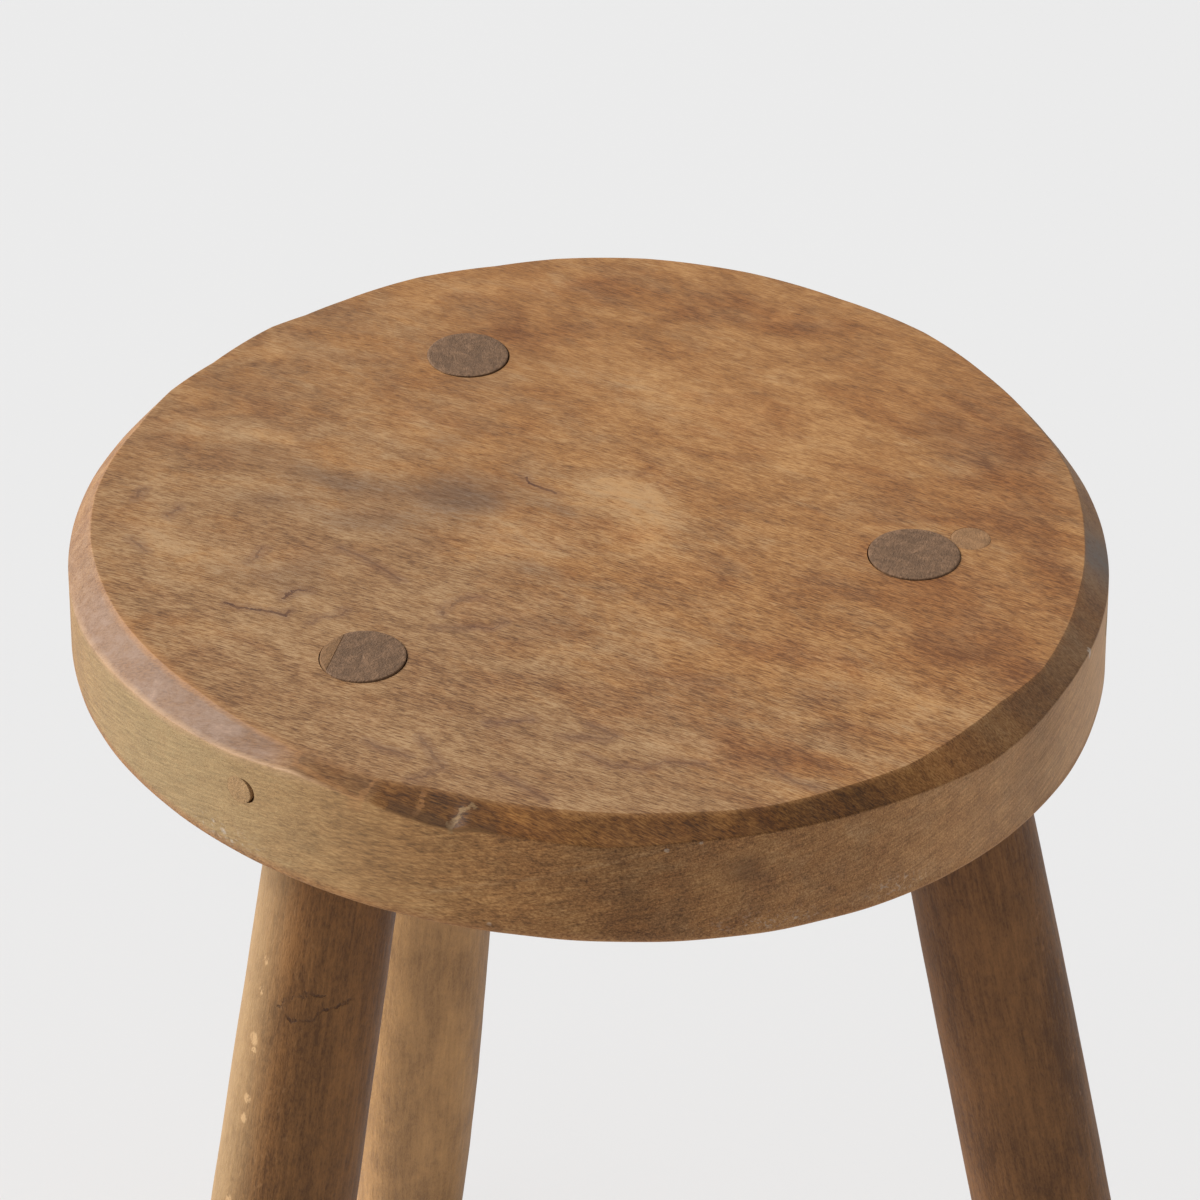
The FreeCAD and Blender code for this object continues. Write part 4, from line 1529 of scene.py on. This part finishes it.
class STOOL_OT_seat(bpy.types.Operator):
    """Build the seat board with its bevel, mortises, peg holes and plug hole."""

    bl_idname = "stool.seat"
    bl_label = "Seat board"

    def execute(self, context):
        settings = context.scene.stool_seat
        legs = context.scene.stool_legs
        small = context.scene.stool_small
        board = build_board(settings)
        cutters = [mortise_cutter(leg, settings, legs.splay) for leg in LEGS]
        peg = small.peg_width / MM / 2
        tight = peg - 0.06
        loose = peg + 0.03
        for leg in LEGS:
            own_frame = peg_frame(leg, small.peg_depth / MM)
            inner, rim = peg_ends(leg, settings, legs, small.peg_depth / MM)
            levels = (
                (rim + 8.0, tight, 0.0),
                (rim - 1.0, tight, 0.0),
                (rim - 4.0, loose, 0.0),
                (inner - 0.5, loose, 0.0),
            )
            cutters.append(tube(f"peg_hole_{leg}", levels, own_frame))
            if leg == "front_left":
                # This hole's mouth is broken out on one side: a dark crescent by the peg.
                aside = own_frame[1] * 1.75 + UPRIGHT * 0.5
                levels = ((rim + 8.0, peg - 0.30, aside), (rim - 2.2, peg - 0.45, aside))
                cutters.append(tube("peg_crescent", levels, own_frame))
        plug = small.plug_width / MM / 2 + 0.02
        plug_levels = ((6.0, plug, 0.0), (-small.plug_depth / MM, plug, 0.0))
        cutters.append(tube("plug_hole", plug_levels, plug_frame()))
        cut_away(board, cutters)
        mark_board(board, settings)
        settle(board, "seat", seat_finish(settings), 32.0)
        return {"FINISHED"}


class STOOL_OT_legs(bpy.types.Operator):
    """Build the three splayed legs with their through tenons."""

    bl_idname = "stool.legs"
    bl_label = "Legs"

    def execute(self, context):
        settings = context.scene.stool_legs
        plain = leg_finish(settings, "leg_wood", False)
        cracked = leg_finish(settings, "leg_wood_cracked", True)
        for leg in LEGS:
            stick = build_leg(leg, settings)
            if leg == "front_left":
                cut_away(stick, [slip_cutter(settings, context.scene.stool_small)])
            mark_leg(stick, leg_frame(leg, settings.splay), LEG_TINTS_WITH_PAINTED_LIGHT[leg], LEG_BOLDNESS[leg])
            finish = cracked if leg == "front_left" else plain
            settle(stick, f"leg_{leg}", finish)
        return {"FINISHED"}


class STOOL_OT_pegs(bpy.types.Operator):
    """Build the three whittled pegs that lock the tenons."""

    bl_idname = "stool.pegs"
    bl_label = "Pegs"

    def execute(self, context):
        small = context.scene.stool_small
        pale = small_finish("peg_wood", small.peg_wood, 1.5)
        brown = small_finish("peg_wood_brown", shaded(small.peg_wood, 0.62), 1.5)
        for leg in LEGS:
            peg = build_peg(leg, context.scene.stool_seat, context.scene.stool_legs, small)
            origin, sideways, upright, outward = peg_frame(leg, small.peg_depth / MM)
            carry_grain(peg, (origin, upright, sideways, outward))
            finish = brown if leg == "back_left" else pale
            settle(peg, f"peg_{leg}", finish)
        return {"FINISHED"}


class STOOL_OT_patches(bpy.types.Operator):
    """Build the plug beside the right tenon and the slip at the front left one."""

    bl_idname = "stool.patches"
    bl_label = "Plug and slip"

    def execute(self, context):
        legs = context.scene.stool_legs
        small = context.scene.stool_small
        plug = build_plug(small)
        carry_grain(plug, plug_frame())
        plug_wood = small_finish("plug_wood", small.patch_wood, 2.2)
        settle(plug, "patch_plug", plug_wood)
        slip = build_slip(legs, small)
        carry_grain(slip, leg_frame("front_left", legs.splay))
        slip_wood = small_finish("slip_wood", shaded(small.patch_wood, 0.8), 1.2)
        settle(slip, "tenon_slip", slip_wood)
        return {"FINISHED"}


class STOOL_OT_stage(bpy.types.Operator):
    """Build the pale floor, the soft light and the camera."""

    bl_idname = "stool.stage"
    bl_label = "Stage"

    def execute(self, context):
        settings = context.scene.stool_stage
        mesh = bpy.data.meshes.new("floor")
        reach = 60.0
        corners = [(reach * x, reach * y, 0.0) for x, y in ((-1, -1), (1, -1), (1, 1), (-1, 1))]
        mesh.from_pydata(corners, [], [(0, 1, 2, 3)])
        floor = placed("floor", mesh)
        finish = Finish("pale_floor")
        place = finish.node("ShaderNodeTexCoord", {}, {}, "Object")
        cloud = finish.lumps(place, (0.6, 0.6, 0.6), 3.0)
        shade = finish.blend(cloud, shaded(settings.floor, 0.985), settings.floor)
        mesh.materials.append(finish.close(shade, 0.8 + (cloud - 0.5) * 0.1, cloud, 0.0005, 0.1))

        lamp = bpy.data.lights.new("soft_light", "SUN")
        lamp.energy = settings.light_level
        lamp.angle = settings.light_softness
        level = math.cos(settings.light_height)
        to_right = math.cos(settings.light_direction) * level
        to_back = math.sin(settings.light_direction) * level
        towards = Vector((to_right, to_back, math.sin(settings.light_height)))
        light = placed("soft_light", lamp)
        light.rotation_euler = towards.to_track_quat("Z", "Y").to_euler()
        light.location = towards * 3.0

        world = bpy.data.worlds.new("even_light")
        world.use_nodes = True
        context.scene.world = world
        graph = Graph(world.node_tree)
        rays = ("Is Camera Ray", "Is Glossy Ray", "Is Transmission Ray")
        seen, glossy, clear = [graph.node("ShaderNodeLightPath", {}, {}, ray) for ray in rays]
        seen = seen.most(glossy).most(clear)
        fill = (settings.fill_level,) * 3
        sky = world.node_tree.nodes["Background"]
        graph.feed(sky.inputs["Color"], graph.blend(seen, fill, settings.backdrop))

        fall = settings.camera_fall
        turn = settings.camera_turn
        tilt = settings.camera_tilt
        level = math.cos(fall)
        ahead = Vector((math.sin(turn) * level, math.cos(turn) * level, -math.sin(fall)))
        right = Vector((math.cos(turn), -math.sin(turn), 0.0))
        up = right.cross(ahead)
        tilted_right = right * math.cos(tilt) + up * math.sin(tilt)
        tilted_up = up * math.cos(tilt) - right * math.sin(tilt)
        axes = Matrix((tilted_right, tilted_up, -ahead)).transposed()
        lens = bpy.data.cameras.new("camera")
        lens.sensor_width = 36.0
        lens.lens = settings.camera_lens
        lens.clip_end = 200.0
        camera = placed("camera", lens)
        seat = Vector((SEAT_X, SEAT_Y, UNDERSIDE)) * MM
        camera.matrix_world = Matrix.Translation(seat + settings.camera_place) @ axes.to_4x4()
        context.scene.camera = camera
        context.scene.view_settings.view_transform = "Standard"
        return {"FINISHED"}


class STOOL_PT_panel(bpy.types.Panel):
    """Lists the steps that build the stool."""

    bl_idname = "STOOL_PT_panel"
    bl_label = "Milking stool"
    bl_space_type = "VIEW_3D"
    bl_region_type = "UI"
    bl_category = "Stool"

    def draw(self, context):
        for step in STEPS:
            self.layout.operator(step.bl_idname)


STEPS = (STOOL_OT_seat, STOOL_OT_legs, STOOL_OT_pegs, STOOL_OT_patches, STOOL_OT_stage)
SETTINGS = {
    "stool_seat": StoolSeatSettings,
    "stool_legs": StoolLegSettings,
    "stool_small": StoolSmallSettings,
    "stool_stage": StoolStageSettings,
}


def register():
    for name, group in SETTINGS.items():
        bpy.utils.register_class(group)
        setattr(bpy.types.Scene, name, bpy.props.PointerProperty(type=group))
    for step in STEPS:
        bpy.utils.register_class(step)
    bpy.utils.register_class(STOOL_PT_panel)


def unregister():
    bpy.utils.unregister_class(STOOL_PT_panel)
    for step in reversed(STEPS):
        bpy.utils.unregister_class(step)
    for name, group in reversed(SETTINGS.items()):
        delattr(bpy.types.Scene, name)
        bpy.utils.unregister_class(group)


def main():
    """Builds the stool and its stage."""
    register()
    bpy.ops.stool.seat()
    bpy.ops.stool.legs()
    bpy.ops.stool.pegs()
    bpy.ops.stool.patches()
    bpy.ops.stool.stage()


if __name__ == "__main__":
    main()
